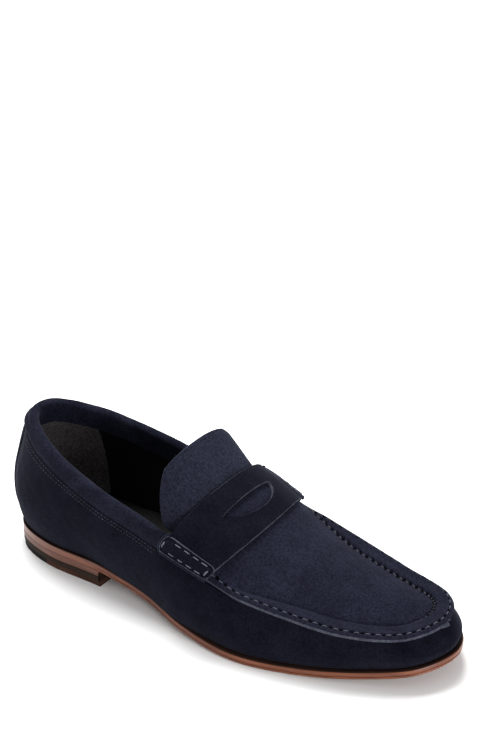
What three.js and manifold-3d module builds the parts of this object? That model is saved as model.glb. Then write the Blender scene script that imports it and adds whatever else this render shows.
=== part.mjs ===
// A man's right penny loafer in suede, on a leather sole with a low stacked heel.
// Millimetres. +X points to the toe, +Y to the inner (medial) side of the foot, +Z up.
// The origin is on the ground, under the middle of the shoe.
import * as THREE from "three";
import { mergeVertices } from "three/addons/utils/BufferGeometryUtils.js";
import Module from "manifold-3d";

const wasm = await Module();
wasm.setup();

// ---------------------------------------------------------------- driving dimensions
const HEEL_HEIGHT = 11; // ground to the underside of the outsole at the heel
const SOLE_THICKNESS = 5;
const TOE_SPRING = 12; // how far the tip of the sole stands off the ground
const BREAST_X = -71; // front face of the heel
const BALL_X = 46; // where the sole meets the ground
const SUEDE = 1.8; // thickness of the outer leather
const LINING = 1.0;
const GLUE = 0.45; // gap left between two glued layers
const LASTING_RADIUS = 2; // the upper turns under the insole round this radius
const LASTING_MARGIN = 12; // and is glued under it this far in
const COLLAR_RISE = 10.5; // the padded collar above the edge of the wall
const COLLAR_THICKNESS = 6.5;
const COLLAR_TURN_IN = 15; // the collar's suede comes down inside this far
const INSOLE_THICKNESS = 2.5;
const SOCK_THICKNESS = 1.2;

// Stations round the last, from the back of the heel along the outer side to the toe (10) and back
// along the inner side: [sole edge x, y, wall edge x, y, z]. The wall edge is the apron seam at the
// front and the seam under the collar at the back.
const STATIONS = [
  [-147.5, 1, -143, 1, 79],
  [-138, -20, -134.5, -16.5, 77.5],
  [-111, -31, -109, -30, 69.5],
  [-74, -33, -73, -36, 58],
  [-36, -37, -36, -39.5, 50.5],
  [-1, -48, -1, -44.5, 44.2],
  [36, -53, 31, -46, 37.6],
  [76, -44.5, 65, -42, 33],
  [111, -31.5, 97, -34, 28.9],
  [136, -18, 126, -18, 28.4],
  [147, 6, 138, 7, 31],
  [136, 30.5, 128, 26, 33],
  [108, 46.5, 96, 33, 36.3],
  [72, 53, 62, 36, 43.2],
  [38, 48, 30, 37, 50.6],
  [4, 37, 0, 39, 56.5],
  [-35, 30.5, -35, 40.5, 55.5],
  [-75, 31.5, -71, 39, 62.5],
  [-112, 32, -108.5, 31, 72],
  [-138.5, 22, -134.5, 17.5, 78],
];
const ROUND = STATIONS.length;
const TOE = ROUND / 2;

// Crossways rows of the top of the foot, counted back from the toe along the outer side's stations.
const INNER_STEP = 0.94; // the inner end of a row lags behind, so the strap stands slightly askew
const CROWN = [0, 3, 5.5, 8.5, 14, 25.5, 35]; // rise of the instep over the chord of rows 0, 1, 2 ...
const SPREAD = [0.3, 0.28, 0.26, 0.22, 0.17, 0.12, 0.1]; // how far in the row's shoulders reach
const STRAP_FRONT = 4.5; // rows between which the strap lies, at its two ends
const STRAP_BACK = 5.5;
const STRAP_BOW = 0.35; // its middle stands this much further forward
const LIP = 1.8; // the apron's edge stands out over the wall this far
const APRON_BACK = 5.2;
const RIDGE = 2.3; // height of the gathered band round the apron, over its cut edge
const BAND = 10.5; // how far in from the cut edge that band reaches

// ---------------------------------------------------------------- helpers
const v3 = (x, y, z) => new THREE.Vector3(x, y, z);
const UP = v3(0, 0, 1);
const clamp01 = (t) => Math.min(1, Math.max(0, t));
const smooth = (from, to, x) => {
  const t = clamp01((x - from) / (to - from));
  return t * t * (3 - 2 * t);
};

// A smooth curve through evenly numbered values, read at any number in between.
function lookup(values, at) {
  const i = Math.min(values.length - 2, Math.max(0, Math.floor(at)));
  const t = at - i;
  const [a, b] = [values[i], values[i + 1]];
  const before = values[Math.max(0, i - 1)];
  const after = values[Math.min(values.length - 1, i + 2)];
  const [m0, m1] = [(b - before) / 2, (after - a) / 2];
  const [t2, t3] = [t * t, t * t * t];
  return a * (2 * t3 - 3 * t2 + 1) + m0 * (t3 - 2 * t2 + t) + b * (3 * t2 - 2 * t3) + m1 * (t3 - t2);
}

// A cubic Bezier point.
function bezier(a, b, c, d, t) {
  const s = 1 - t;
  return v3()
    .addScaledVector(a, s * s * s)
    .addScaledVector(b, 3 * s * s * t)
    .addScaledVector(c, 3 * s * t * t)
    .addScaledVector(d, t * t * t);
}

const closedCurve = (points) => new THREE.CatmullRomCurve3(points, true, "catmullrom", 0.5);
const soleCurve = closedCurve(STATIONS.map(([x, y]) => v3(x, y, 0)));
const edgeCurve = closedCurve(STATIONS.map(([, , x, y, z]) => v3(x, y, z)));
const turn = (u) => (((u % ROUND) + ROUND) % ROUND) / ROUND;
const soleEdge = (u) => soleCurve.getPoint(turn(u));
const wallEdge = (u) => edgeCurve.getPoint(turn(u));

function outward(u) {
  const t = soleCurve.getTangent(turn(u));
  return v3(t.y, -t.x, 0).normalize();
}

// Underside of the outsole: flat over the heel, down through the shank, up again at the toe.
function soleBottom(x) {
  const d = (x - BREAST_X) / (BALL_X - BREAST_X);
  const down = clamp01((Math.hypot(d, 0.05) + d) / 2);
  const spring = clamp01((x - BALL_X) / (149 - BALL_X));
  return HEEL_HEIGHT * (1 - down) ** 1.7 + TOE_SPRING * spring ** 2.2;
}
const soleTop = (x) => soleBottom(x) + SOLE_THICKNESS;

// The feather line: where the upper meets the sole. It lies inside the sole's edge, but at the
// waist the upper overhangs the sole.
function feather(u, inset = 0) {
  const edge = soleEdge(u);
  const waist = smooth(-85, -50, edge.x) * (1 - smooth(-15, 30, edge.x));
  const margin = 0.8 + 1.3 * smooth(-70, 20, edge.x) - 2.6 * waist;
  const p = edge.addScaledVector(outward(u), -margin - inset);
  p.z = soleTop(p.x);
  return p;
}

// ---------------------------------------------------------------- surface of the wall and quarters
// v from -1 (inner edge of the lasting margin) through 0 (above the feather) to 1 (the wall's edge).
function wallHandles(u) {
  const foot = feather(u);
  foot.z += GLUE + LASTING_RADIUS;
  const edge = wallEdge(u);
  const out = outward(u);
  const rise = edge.z - foot.z;
  const heel = smooth(-85, -140, foot.x);
  const toe = smooth(60, 130, foot.x);
  const lower = 4 + 4.5 * heel - 0.5 * toe;
  const upper = 3 + 2.2 * heel + 0.4 * toe;
  const a = foot.clone().addScaledVector(UP, 0.36 * rise).addScaledVector(out, lower);
  const b = edge.clone().addScaledVector(UP, -0.36 * rise).addScaledVector(out, upper);
  return [foot, a, b, edge];
}

function wallPoint(u, v) {
  if (v >= 0) return bezier(...wallHandles(u), v);
  const out = outward(u);
  const foot = feather(u);
  const turned = Math.min(1, -v / 0.4); // the first part of the way is the rounded corner
  const angle = (turned * Math.PI) / 2;
  const flat = Math.max(0, (-v - 0.4) / 0.6) * (LASTING_MARGIN - LASTING_RADIUS);
  const inwards = LASTING_RADIUS * (1 - Math.cos(angle)) + flat;
  const p = foot.addScaledVector(out, -inwards);
  p.z = soleTop(p.x) + GLUE + LASTING_RADIUS * (1 - Math.sin(angle));
  return p;
}

// ---------------------------------------------------------------- surface of the top of the foot
// k counts rows back from the toe; w runs across, 0 on the outer side and 1 on the inner side.
function instepPoint(k, w) {
  const lift = GLUE + SUEDE;
  const a = wallEdge(TOE - k).addScaledVector(UP, lift);
  const d = wallEdge(TOE + INNER_STEP * k).addScaledVector(UP, lift);
  const across = d.clone().sub(a).multiplyScalar(lookup(SPREAD, k));
  const rise = lookup(CROWN, k) / 0.75;
  const b = a.clone().add(across).addScaledVector(UP, rise);
  const c = d.clone().sub(across).addScaledVector(UP, rise);
  const p = bezier(a, b, c, d, w);
  const inside = Math.min(p.distanceTo(a), p.distanceTo(d));
  const side = outward(w < 0.5 ? TOE - k : TOE + INNER_STEP * k);
  return p.addScaledVector(side, LIP * (1 - 0.7 * smooth(3.8, 4.4, k)) * (1 - smooth(0, 9, inside)));
}

// The tongue follows the instep under the strap and then stands up and back from it.
const TONGUE_LENGTH = 30;
const TONGUE_WAY = v3(-0.7, 0, 0.7).normalize();
const bow = (w) => STRAP_BOW * 4 * w * (1 - w);
function tonguePoint(t, w) {
  const side = Math.abs(2 * w - 1);
  const tuck = 6 * smooth(0.45, 1, side); // its wings lie inside the collar
  const root = STRAP_BACK - bow(w);
  const row = root - 0.4 * Math.max(0, -t);
  const base = instepPoint(row, w);
  const inward = v3(0, w < 0.5 ? 1 : -1, 0);
  base.addScaledVector(inward, tuck);
  const free = Math.max(0, t) * TONGUE_LENGTH * (1 - 0.3 * side ** 2.4);
  return base.addScaledVector(TONGUE_WAY, free);
}

// ---------------------------------------------------------------- solids
function geometryOf(points, triangles) {
  const g = new THREE.BufferGeometry();
  g.setAttribute("position", new THREE.Float32BufferAttribute(points.flatMap((p) => [p.x, p.y, p.z]), 3));
  g.setIndex(triangles);
  return g;
}

// A closed solid between an outer and an inner grid of points, both [row][column].
function slab(outer, inner) {
  const rows = outer.length;
  const columns = outer[0].length;
  const points = [...outer.flat(), ...inner.flat()];
  const o = (i, j) => i * columns + j;
  const n = (i, j) => rows * columns + i * columns + j;
  const tris = [];
  const quad = (a, b, c, d) => tris.push(a, b, c, a, c, d);
  for (let i = 0; i + 1 < rows; i++) {
    for (let j = 0; j + 1 < columns; j++) {
      quad(o(i, j), o(i + 1, j), o(i + 1, j + 1), o(i, j + 1));
      quad(n(i, j), n(i, j + 1), n(i + 1, j + 1), n(i + 1, j));
    }
    quad(o(i, 0), n(i, 0), n(i + 1, 0), o(i + 1, 0));
    quad(o(i, columns - 1), o(i + 1, columns - 1), n(i + 1, columns - 1), n(i, columns - 1));
  }
  for (let j = 0; j + 1 < columns; j++) {
    quad(o(0, j), o(0, j + 1), n(0, j + 1), n(0, j));
    quad(o(rows - 1, j), n(rows - 1, j), n(rows - 1, j + 1), o(rows - 1, j + 1));
  }
  return tidy(geometryOf(points, tris));
}

// Merges equal corners, drops triangles of no size, and turns the faces outwards.
function tidy(geometry) {
  const g = mergeVertices(geometry, 1e-3);
  const index = g.index.array;
  const kept = [];
  for (let i = 0; i < index.length; i += 3) {
    const [a, b, c] = [index[i], index[i + 1], index[i + 2]];
    if (a !== b && b !== c && a !== c) kept.push(a, b, c);
  }
  g.setIndex(kept);
  return volumeOf(g) < 0 ? flipped(g) : g;
}

function volumeOf(g) {
  const p = g.attributes.position;
  const at = (i) => v3().fromBufferAttribute(p, i);
  let sum = 0;
  for (let i = 0; i < g.index.count; i += 3) {
    const [a, b, c] = [0, 1, 2].map((k) => at(g.index.getX(i + k)));
    sum += a.dot(b.cross(c));
  }
  return sum / 6;
}

function flipped(g) {
  const index = Array.from(g.index.array);
  for (let i = 0; i < index.length; i += 3) [index[i + 1], index[i + 2]] = [index[i + 2], index[i + 1]];
  g.setIndex(index);
  return g;
}

const numbers = (count) => Array.from({ length: count }, (_, i) => i);
const spread = (from, to, steps) => numbers(steps + 1).map((i) => from + ((to - from) * i) / steps);

// A piece of leather: part of a surface, from one depth below it to another. The range of v may
// change along the piece, and close(t) may gather the grid lines where the form turns quickly.
const evenly = (t) => t;
function leather(surface, uRange, vRange, depths, steps, side = 1, close = [evenly, evenly]) {
  const near = 1e-3;
  const normal = (u, v) => {
    const du = surface(u + near, v).sub(surface(u - near, v));
    const dv = surface(u, v + near).sub(surface(u, v - near));
    return du.cross(dv).normalize().multiplyScalar(side);
  };
  const layer = (which) =>
    spread(0, 1, steps[0]).map((s) => {
      const u = uRange[0] + (uRange[1] - uRange[0]) * close[0](s);
      const [v0, v1] = typeof vRange === "function" ? vRange(u) : vRange;
      return spread(0, 1, steps[1]).map((t) => {
        const v = v0 + (v1 - v0) * close[1](t);
        const depth = typeof depths === "function" ? depths(u, v)[which] : depths[which];
        return surface(u, v).addScaledVector(normal(u, v), -depth);
      });
    });
  return slab(layer(0), layer(1));
}

// A plate over a plan outline: rings from bottom to top, each inset from the sole's edge, closed by
// a face at either end that follows the sole's curve.
function plate(rings, span = [0, TOE], steps = 32, across = 2) {
  const stops = spread(...span, steps);
  const row = (ring, u) => {
    const [a, b] = [ring.at(u), ring.at(ROUND - u)];
    return spread(0, 1, across).map((t) => {
      const p = a.clone().lerp(b, t);
      p.z = ring.z(p.x);
      return p;
    });
  };
  const grids = rings.map((ring) => stops.map((u) => row(ring, u)));
  return stack(grids);
}

// Joins a pile of grids into one solid: the first and last are its faces, the rest only its sides.
function stack(grids) {
  const [rows, columns] = [grids[0].length, grids[0][0].length];
  const points = [];
  const tris = [];
  const rim = [];
  for (let j = 0; j < columns; j++) rim.push([0, j]);
  for (let i = 1; i < rows; i++) rim.push([i, columns - 1]);
  for (let j = columns - 2; j >= 0; j--) rim.push([rows - 1, j]);
  for (let i = rows - 2; i > 0; i--) rim.push([i, 0]);
  const start = grids.map((grid) => {
    const first = points.length;
    points.push(...grid.flat());
    return first;
  });
  const id = (g, [i, j]) => start[g] + i * columns + j;
  const face = (g, up) => {
    for (let i = 0; i + 1 < rows; i++)
      for (let j = 0; j + 1 < columns; j++) {
        const [a, b, c, d] = [[i, j], [i + 1, j], [i + 1, j + 1], [i, j + 1]].map((q) => id(g, q));
        tris.push(...(up ? [a, b, c, a, c, d] : [a, c, b, a, d, c]));
      }
  };
  face(0, false);
  face(grids.length - 1, true);
  for (let g = 0; g + 1 < grids.length; g++)
    rim.forEach((q, i) => {
      const r = rim[(i + 1) % rim.length];
      const [a, b, c, d] = [id(g, q), id(g, r), id(g + 1, r), id(g + 1, q)];
      tris.push(a, c, b, a, d, c);
    });
  return tidy(geometryOf(points, tris));
}

// ---------------------------------------------------------------- cutting
function manifold(geometry) {
  const g = geometry.clone();
  g.deleteAttribute("normal");
  g.deleteAttribute("uv");
  const m = mergeVertices(g, 1e-4);
  return new wasm.Manifold(
    new wasm.Mesh({
      numProp: 3,
      vertProperties: new Float32Array(m.attributes.position.array),
      triVerts: new Uint32Array(m.index.array),
    }),
  );
}

function fromManifold(solid) {
  const mesh = solid.getMesh();
  const g = new THREE.BufferGeometry();
  g.setAttribute("position", new THREE.Float32BufferAttribute(mesh.vertProperties, 3));
  g.setIndex(Array.from(mesh.triVerts));
  return g;
}

function cut(geometry, ...tools) {
  let solid = manifold(geometry);
  for (const tool of tools) solid = solid.subtract(manifold(tool));
  return fromManifold(solid);
}

const common = (a, b) => fromManifold(manifold(a).intersect(manifold(b)));

// ---------------------------------------------------------------- materials
const material = (color, roughness) => new THREE.MeshStandardMaterial({ color, roughness, metalness: 0 });
const navySuede = material(0x1b2036, 0.95);
const blackLeather = material(0x121214, 0.55);
const heelSuede = material(0x1d1b1b, 0.9);
const liningCloth = material(0x23211f, 0.9);
const soleLeather = material(0x8a4a2f, 0.4);
const darkLift = material(0x3a332e, 0.5);
const rubber = material(0x151515, 0.7);
const board = material(0xb79b73, 0.9);
const cork = material(0x8d6a43, 0.95);
const foam = material(0xd9d4c4, 0.95);
const stiffener = material(0xc9bda3, 0.85);
const steel = new THREE.MeshStandardMaterial({ color: 0x9da1a5, roughness: 0.35, metalness: 1 });
const brass = new THREE.MeshStandardMaterial({ color: 0xb08d4c, roughness: 0.35, metalness: 1 });

const shoe = new THREE.Group();
function add(name, geometry, look) {
  const mesh = new THREE.Mesh(geometry, look);
  mesh.name = name;
  shoe.add(mesh);
  return mesh;
}

// ---------------------------------------------------------------- sole and heel
const soleRing = (inset, z) => ({
  at: (u) => soleEdge(u).addScaledVector(outward(u), -inset),
  z,
});
const featherRing = (inset, z) => ({
  at: (u) => feather(u, typeof inset === "function" ? inset(u) : inset),
  z,
});

// The edge is rounded over at the top and has a shallow groove above its lower bead.
add(
  "outsole",
  plate([
    soleRing(1.2, soleBottom),
    soleRing(0.3, (x) => soleBottom(x) + 0.5),
    soleRing(0.2, (x) => soleBottom(x) + 1.5),
    soleRing(0.7, (x) => soleBottom(x) + 1.9),
    soleRing(0, (x) => soleBottom(x) + 2.7),
    soleRing(0.3, (x) => soleBottom(x) + 4.2),
    soleRing(1.4, soleTop),
  ]),
  soleLeather,
);

const LIFT = HEEL_HEIGHT / 3;
const LIFT_GAP = 0.1;
function heelBlock(inset, zLow, zHigh) {
  // Stations 0 to 3.1 reach just past the breast, where the block is cut off straight.
  const block = plate([soleRing(inset + 0.15, zLow), soleRing(inset, zHigh)], [0, 3.4], 14, 2);
  const box = new THREE.BoxGeometry(200, 200, 60).translate(BREAST_X - 100, 0, 0);
  return common(block, box);
}

const nailSpots = [-62, -38, -14, 14, 38, 62].map((deg) => {
  const a = THREE.MathUtils.degToRad(deg);
  return [-119 - 21 * Math.cos(a), 1 + 21 * Math.sin(a)];
});
const NAIL = { head: 1.6, shank: 0.8, headHeight: 1.0, length: 9.4, sides: 8, play: 0.12, from: 0.3 };
function nailShape(play) {
  const profile = [
    [0, NAIL.from - (play ? 1 : 0)],
    [NAIL.head + play, NAIL.from - (play ? 1 : 0)],
    [NAIL.head + play, NAIL.from + NAIL.headHeight + play],
    [NAIL.shank + play, NAIL.from + NAIL.headHeight + play],
    [NAIL.shank + play, NAIL.from + NAIL.length + play],
    [0, NAIL.from + NAIL.length + play],
  ].map(([r, z]) => new THREE.Vector2(r, z));
  return tidy(stripped(new THREE.LatheGeometry(profile, NAIL.sides).rotateX(Math.PI / 2)));
}
function stripped(g) {
  g.deleteAttribute("normal");
  g.deleteAttribute("uv");
  return g;
}
const nailHoles = nailSpots.map(([x, y]) => nailShape(NAIL.play).translate(x, y, 0));
nailSpots.forEach(([x, y], i) => add(`heel_nail_${i + 1}`, nailShape(0).translate(x, y, 0), brass));

const upperLift = heelBlock(0.2, () => 2 * LIFT, (x) => soleBottom(x) - LIFT_GAP);
const lowerLift = heelBlock(0.4, () => LIFT, () => 2 * LIFT - LIFT_GAP);
add("heel_lift_upper", cut(upperLift, ...nailHoles), soleLeather);
add("heel_lift_lower", cut(lowerLift, ...nailHoles), darkLift);

// The top piece is leather in front and a rubber wear plug behind, parted along an arc.
function plug(radius) {
  const round = stripped(new THREE.CylinderGeometry(radius, radius, 40, 28));
  return round.rotateX(Math.PI / 2).translate(-147, 1, 0);
}
const topPiece = heelBlock(0.6, () => 0, () => LIFT - LIFT_GAP);
add("top_piece_leather", cut(topPiece, plug(46.15), ...nailHoles), soleLeather);
add("top_piece_rubber", cut(common(topPiece, plug(46)), ...nailHoles), rubber);

// ---------------------------------------------------------------- between sole and foot
// How deep the lining lies below the wall: deeper where the heel counter and toe stiffener are.
const fromHeel = (u) => Math.min(turn(u), 1 - turn(u)) * ROUND;
const fromToe = (u) => Math.abs(turn(u) * ROUND - TOE);
const COUNTER = 1.5;
const TOE_STIFFENER = 1.1;
const liningDepth = (u) =>
  SUEDE +
  GLUE +
  (COUNTER + 1.3 * GLUE) * (1 - smooth(2.9, 3.6, fromHeel(u))) +
  (TOE_STIFFENER + GLUE) * (1 - smooth(2.6, 3.2, fromToe(u)));

const underInsole = GLUE + SUEDE + GLUE;
const insoleInset = (u) => liningDepth(u) + LINING + 0.8;
add(
  "insole_board",
  plate([
    featherRing(insoleInset, (x) => soleTop(x) + underInsole),
    featherRing(insoleInset, (x) => soleTop(x) + underInsole + INSOLE_THICKNESS),
  ]),
  board,
);
add(
  "sock_liner",
  plate([
    featherRing(insoleInset, (x) => soleTop(x) + underInsole + INSOLE_THICKNESS + GLUE),
    featherRing(insoleInset, (x) => soleTop(x) + underInsole + INSOLE_THICKNESS + GLUE + SOCK_THICKNESS),
  ]),
  blackLeather,
);

// A ribbed steel shank bridges from the heel seat to the ball, in a slot in the cork.
const SHANK = { from: -118, to: -2, width: 13, y: -2 };
function shankSolid(grow, low, high) {
  const outer = spread(SHANK.from - grow, SHANK.to + grow, 14).map((x) =>
    spread(-0.5, 0.5, 4).map((t) => v3(x, SHANK.y + t * (SHANK.width + 2 * grow), soleTop(x) + high)),
  );
  return slab(
    outer,
    outer.map((row) => row.map((p) => v3(p.x, p.y, soleTop(p.x) + low))),
  );
}
add("shank", shankSolid(0, GLUE + 0.15, GLUE + 1.65), steel);
const corkInset = LASTING_MARGIN + 0.5;
add(
  "cork_filler",
  cut(
    plate([
      featherRing(corkInset, (x) => soleTop(x) + GLUE),
      featherRing(corkInset, (x) => soleTop(x) + GLUE + SUEDE),
    ]),
    shankSolid(GLUE, -2, 5),
  ),
  cork,
);

// ---------------------------------------------------------------- upper: wall, counter, linings
const SEAM_GAP = 0.012; // half the gap at the back seam, in stations
const behindSuede = (thickness) => [SUEDE + GLUE, SUEDE + GLUE + thickness];
add(
  "moccasin_wall",
  leather(wallPoint, [SEAM_GAP, ROUND - SEAM_GAP], [-1, 1], [0, SUEDE], [60, 10]),
  navySuede,
);
add("back_strip", leather(wallPoint, [-0.3, 0.3], [0.03, 0.97], [-GLUE - 1.1, -GLUE], [4, 10]), navySuede);
add("heel_counter", leather(wallPoint, [-2.6, 2.6], [0.05, 0.84], behindSuede(COUNTER), [16, 6]), stiffener);
add(
  "toe_stiffener",
  leather(wallPoint, [TOE - 2.4, TOE + 2.4], [0.08, 0.8], behindSuede(TOE_STIFFENER), [14, 3]),
  stiffener,
);
const liningLayer = (u) => [liningDepth(u), liningDepth(u) + LINING];
const underStrap = (u) => smooth(0, 0.3, fromHeel(u) - (turn(u) < 0.5 ? 4.6 : 4.95));
const lining = (from, to, steps) =>
  leather(wallPoint, [from, to], (u) => [0.05, 0.86 + 0.1 * underStrap(u)], liningLayer, [steps, 4]);
add("heel_grip", lining(-1.9, 1.9, 14), heelSuede);
add("quarter_lining_outer", lining(1.93, 5.2, 10), blackLeather);
add("quarter_lining_inner", lining(ROUND - 5.2, ROUND - 1.93, 10), blackLeather);
add("vamp_lining", lining(5.23, ROUND - 5.23, 24), liningCloth);

// ---------------------------------------------------------------- collar
// A profile round the topline, in millimetres up from the wall's edge and in from its surface.
function collarFrame(u) {
  const [, , b, edge] = wallHandles(u);
  const up = edge.clone().sub(b).normalize();
  const along = edgeCurve.getTangent(turn(u));
  const out = along.clone().cross(up).normalize();
  return { edge, up, out };
}
// It thins out towards its two ends, where it stops behind the strap.
const COLLAR_FROM = -4.98;
const COLLAR_TO = 4.56;
const collarTaper = (u) => smooth(0, 1.2, Math.min(COLLAR_TO - u, u - COLLAR_FROM));
function collarProfile(u, depth) {
  const full = 0.62 + 0.38 * collarTaper(u);
  const r = (COLLAR_THICKNESS * full) / 2 - depth;
  const top = COLLAR_RISE - COLLAR_THICKNESS * 0.5 * full;
  const mid = (COLLAR_THICKNESS * full) / 2;
  const path = [
    [0.5, mid - r],
    [top * 0.45, mid - r - 0.5],
    [top, mid - r],
  ];
  for (let i = 1; i < 4; i++) {
    const a = (Math.PI * i) / 4;
    path.push([top + r * Math.sin(a), mid - r * Math.cos(a)]);
  }
  path.push([top, mid + r], [top * 0.3, mid + r], [COLLAR_RISE - COLLAR_TURN_IN, mid + r]);
  return path;
}
function collarRow(u, profile) {
  const { edge, up, out } = collarFrame(u);
  return profile.map(([h, d]) => edge.clone().addScaledVector(up, h).addScaledVector(out, -d));
}
const collarStops = spread(COLLAR_FROM, COLLAR_TO, 36);
const collarBody = slab(
  collarStops.map((u) => collarRow(u, collarProfile(u, 0))),
  collarStops.map((u) => collarRow(u, collarProfile(u, 1.1))),
);
const foamStops = spread(-3.6, 3.3, 22);
const foamHalf = (h) => (h > COLLAR_RISE - 3.5 ? 1 : 1.7);
function foamSide(side) {
  const mid = COLLAR_THICKNESS / 2;
  const profile = spread(0.8, COLLAR_RISE - 2.2, 3).map((h) => [h, mid + side * foamHalf(h)]);
  return foamStops.map((u) => collarRow(u, profile));
}
add("collar_foam", slab(foamSide(-1), foamSide(1)), foam);

// ---------------------------------------------------------------- apron, strap and tongue
// The apron's border is gathered into a band that rises from the cut edge, runs nearly level and
// drops at an inner line. Within that line the apron swells into a low dome. Towards the strap the
// band narrows and the apron takes the plain bow of the instep.
const lipLine = (u, k) => wallEdge(u).addScaledVector(outward(u), LIP * (1 - 0.7 * smooth(3.8, 4.4, k)));
const apronEdge = spread(-5.4, 5.4, 240).map((k) => lipLine(TOE + k * (k < 0 ? 1 : INNER_STEP), Math.abs(k)));
function fromApronEdge(p) {
  let nearest = Infinity;
  for (let i = 0; i + 1 < apronEdge.length; i++) {
    const [a, b] = [apronEdge[i], apronEdge[i + 1]];
    const [dx, dy] = [b.x - a.x, b.y - a.y];
    const t = clamp01(((p.x - a.x) * dx + (p.y - a.y) * dy) / (dx * dx + dy * dy));
    nearest = Math.min(nearest, Math.hypot(p.x - a.x - t * dx, p.y - a.y - t * dy));
  }
  return nearest;
}

const narrowing = (k) => 1 - 0.85 * smooth(2.7, 4.7, k);
function ridgeHeight(s, k) {
  const narrow = narrowing(k);
  const top = BAND * narrow;
  const start = smooth(-1.2, 3.4, 0);
  const up = (RIDGE * (smooth(-1.2, 3.4, s / (0.4 + 0.6 * narrow)) - start)) / (1 - start);
  const along = clamp01((s - 2.5) / Math.max(top - 2.5, 1));
  return up - narrow * (0.9 * along + smooth(top - 0.6, top + 1.4, s));
}

function apronPoint(row, w) {
  const k = row * (1 - bow(w) / STRAP_BACK);
  const p = instepPoint(k, w);
  const a = wallEdge(TOE - k);
  const d = wallEdge(TOE + INNER_STEP * k);
  const [dx, dy] = [d.x - a.x, d.y - a.y];
  const part = clamp01(((p.x - a.x) * dx + (p.y - a.y) * dy) / Math.max(dx * dx + dy * dy, 1e-9));
  const base = a.z + part * (d.z - a.z) + GLUE + SUEDE;
  const s = fromApronEdge(p);
  const top = BAND * narrowing(k);
  const half = Math.hypot(dx, dy) / 2 + LIP;
  const swell = 1 - (1 - clamp01((s - top - 1) / Math.max(half - top - 1, 4))) ** 2.2;
  const crown = lookup(CROWN, k) - ridgeHeight(top + 3, k);
  const height = base + ridgeHeight(s, k) + crown * swell;
  p.z += (height - p.z) * (1 - smooth(3.7, 4.5, k));
  return p;
}

// Closer rows at the toe, and closer columns at both sides.
const atToe = (t) => t ** 1.25;
const atSides = (t) => t - (0.88 * Math.sin(2 * Math.PI * t)) / (2 * Math.PI);
add(
  "apron",
  leather(apronPoint, [0.03, APRON_BACK], [0, 1], [0, SUEDE], [24, 17], -1, [atToe, atSides]),
  navySuede,
);
const underApron = SUEDE + 4 * GLUE;
add(
  "apron_lining",
  leather(apronPoint, [1.3, APRON_BACK - 0.1], [0.2, 0.8], [underApron, underApron + 0.8], [10, 6], -1),
  liningCloth,
);

const strapSurface = (t, w) => instepPoint(STRAP_FRONT - bow(w) + t * (STRAP_BACK - STRAP_FRONT), w);
const strapBody = (from, to, top, bottom) =>
  leather(strapSurface, [from, to], [0, 1], [-top, -bottom], [4, 24], -1);
add("collar_binding", cut(collarBody, strapBody(-0.9, 1.03, 12, -12)), navySuede);

// The slot: straight towards the tongue, curved towards the toe.
const SLOT = { from: 0.33, to: 0.69, back: 0.58, belly: 0.32 };
const slotTool = leather(
  (w, t) => strapSurface(t, w),
  [SLOT.from, SLOT.to],
  (w) => {
    const s = (2 * (w - SLOT.from)) / (SLOT.to - SLOT.from) - 1;
    return [SLOT.back - 0.02 - SLOT.belly * Math.sqrt(Math.max(0, 1 - s * s)), SLOT.back];
  },
  [-6, 0.1],
  [14, 1],
);
add("saddle_strap", cut(strapBody(0, 1, GLUE + SUEDE, GLUE), slotTool), navySuede);

// A stitched patch with round corners over either end of the strap.
const TAB = 0.085; // how far up the strap it reaches
const TAB_CORNER = 0.14; // length of the rounding, as a share of the strap's width
function tab(w0, w1) {
  const across = (t) => {
    const e = clamp01(Math.min(t + 0.03, 1.03 - t) / TAB_CORNER);
    const round = 0.4 * (w1 - w0) * (1 - Math.sqrt(1 - (1 - e) ** 2));
    return [w0 + round, w1 - round];
  };
  const depths = [-2 * GLUE - SUEDE - 1.2, -2 * GLUE - SUEDE];
  return leather(strapSurface, [-0.03, 1.03], across, depths, [12, 4], -1, [atSides, evenly]);
}
add("strap_tab_outer", tab(0.004, TAB), navySuede);
add("strap_tab_inner", tab(1 - TAB, 0.996), navySuede);

const tongueWidth = (t) => {
  const half = 0.42 * Math.sqrt(1 - 0.7 * clamp01(t) ** 3);
  return [0.5 - half, 0.5 + half];
};
add(
  "tongue",
  leather(tonguePoint, [-0.5, 1], tongueWidth, [0.5, 2], [10, 12], -1),
  navySuede,
);
const inside = (t) => tongueWidth(t).map((w, i) => w + (i ? -0.03 : 0.03));
add("tongue_lining", leather(tonguePoint, [-0.4, 0.94], inside, [2.7, 3.4], [8, 8], -1), blackLeather);

// The shoe is centred over the origin.
const box = new THREE.Box3().setFromObject(shoe);
const middle = box.getCenter(v3(0, 0, 0));
for (const { geometry } of shoe.children) geometry.translate(-middle.x, -middle.y, 0);

export default shoe;
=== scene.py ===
# %% [markdown]
# # A suede penny loafer
# The frame is a man's right penny loafer made of hard CAD pieces: sole, heel, wall, apron, strap, tongue
# and what lies between them. This lesson lays the real surfaces over it: soft suede with cut edges, hand
# stitches that pull the leather in, a padded collar and a polished sole edge. All of it is built in
# millimetres and turned into metres at the end, because a shoemaker's sizes are easy to read that way.

# %% Load the frame
import math
import bmesh
import bpy
import numpy as np
from mathutils import Matrix, Vector


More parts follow.
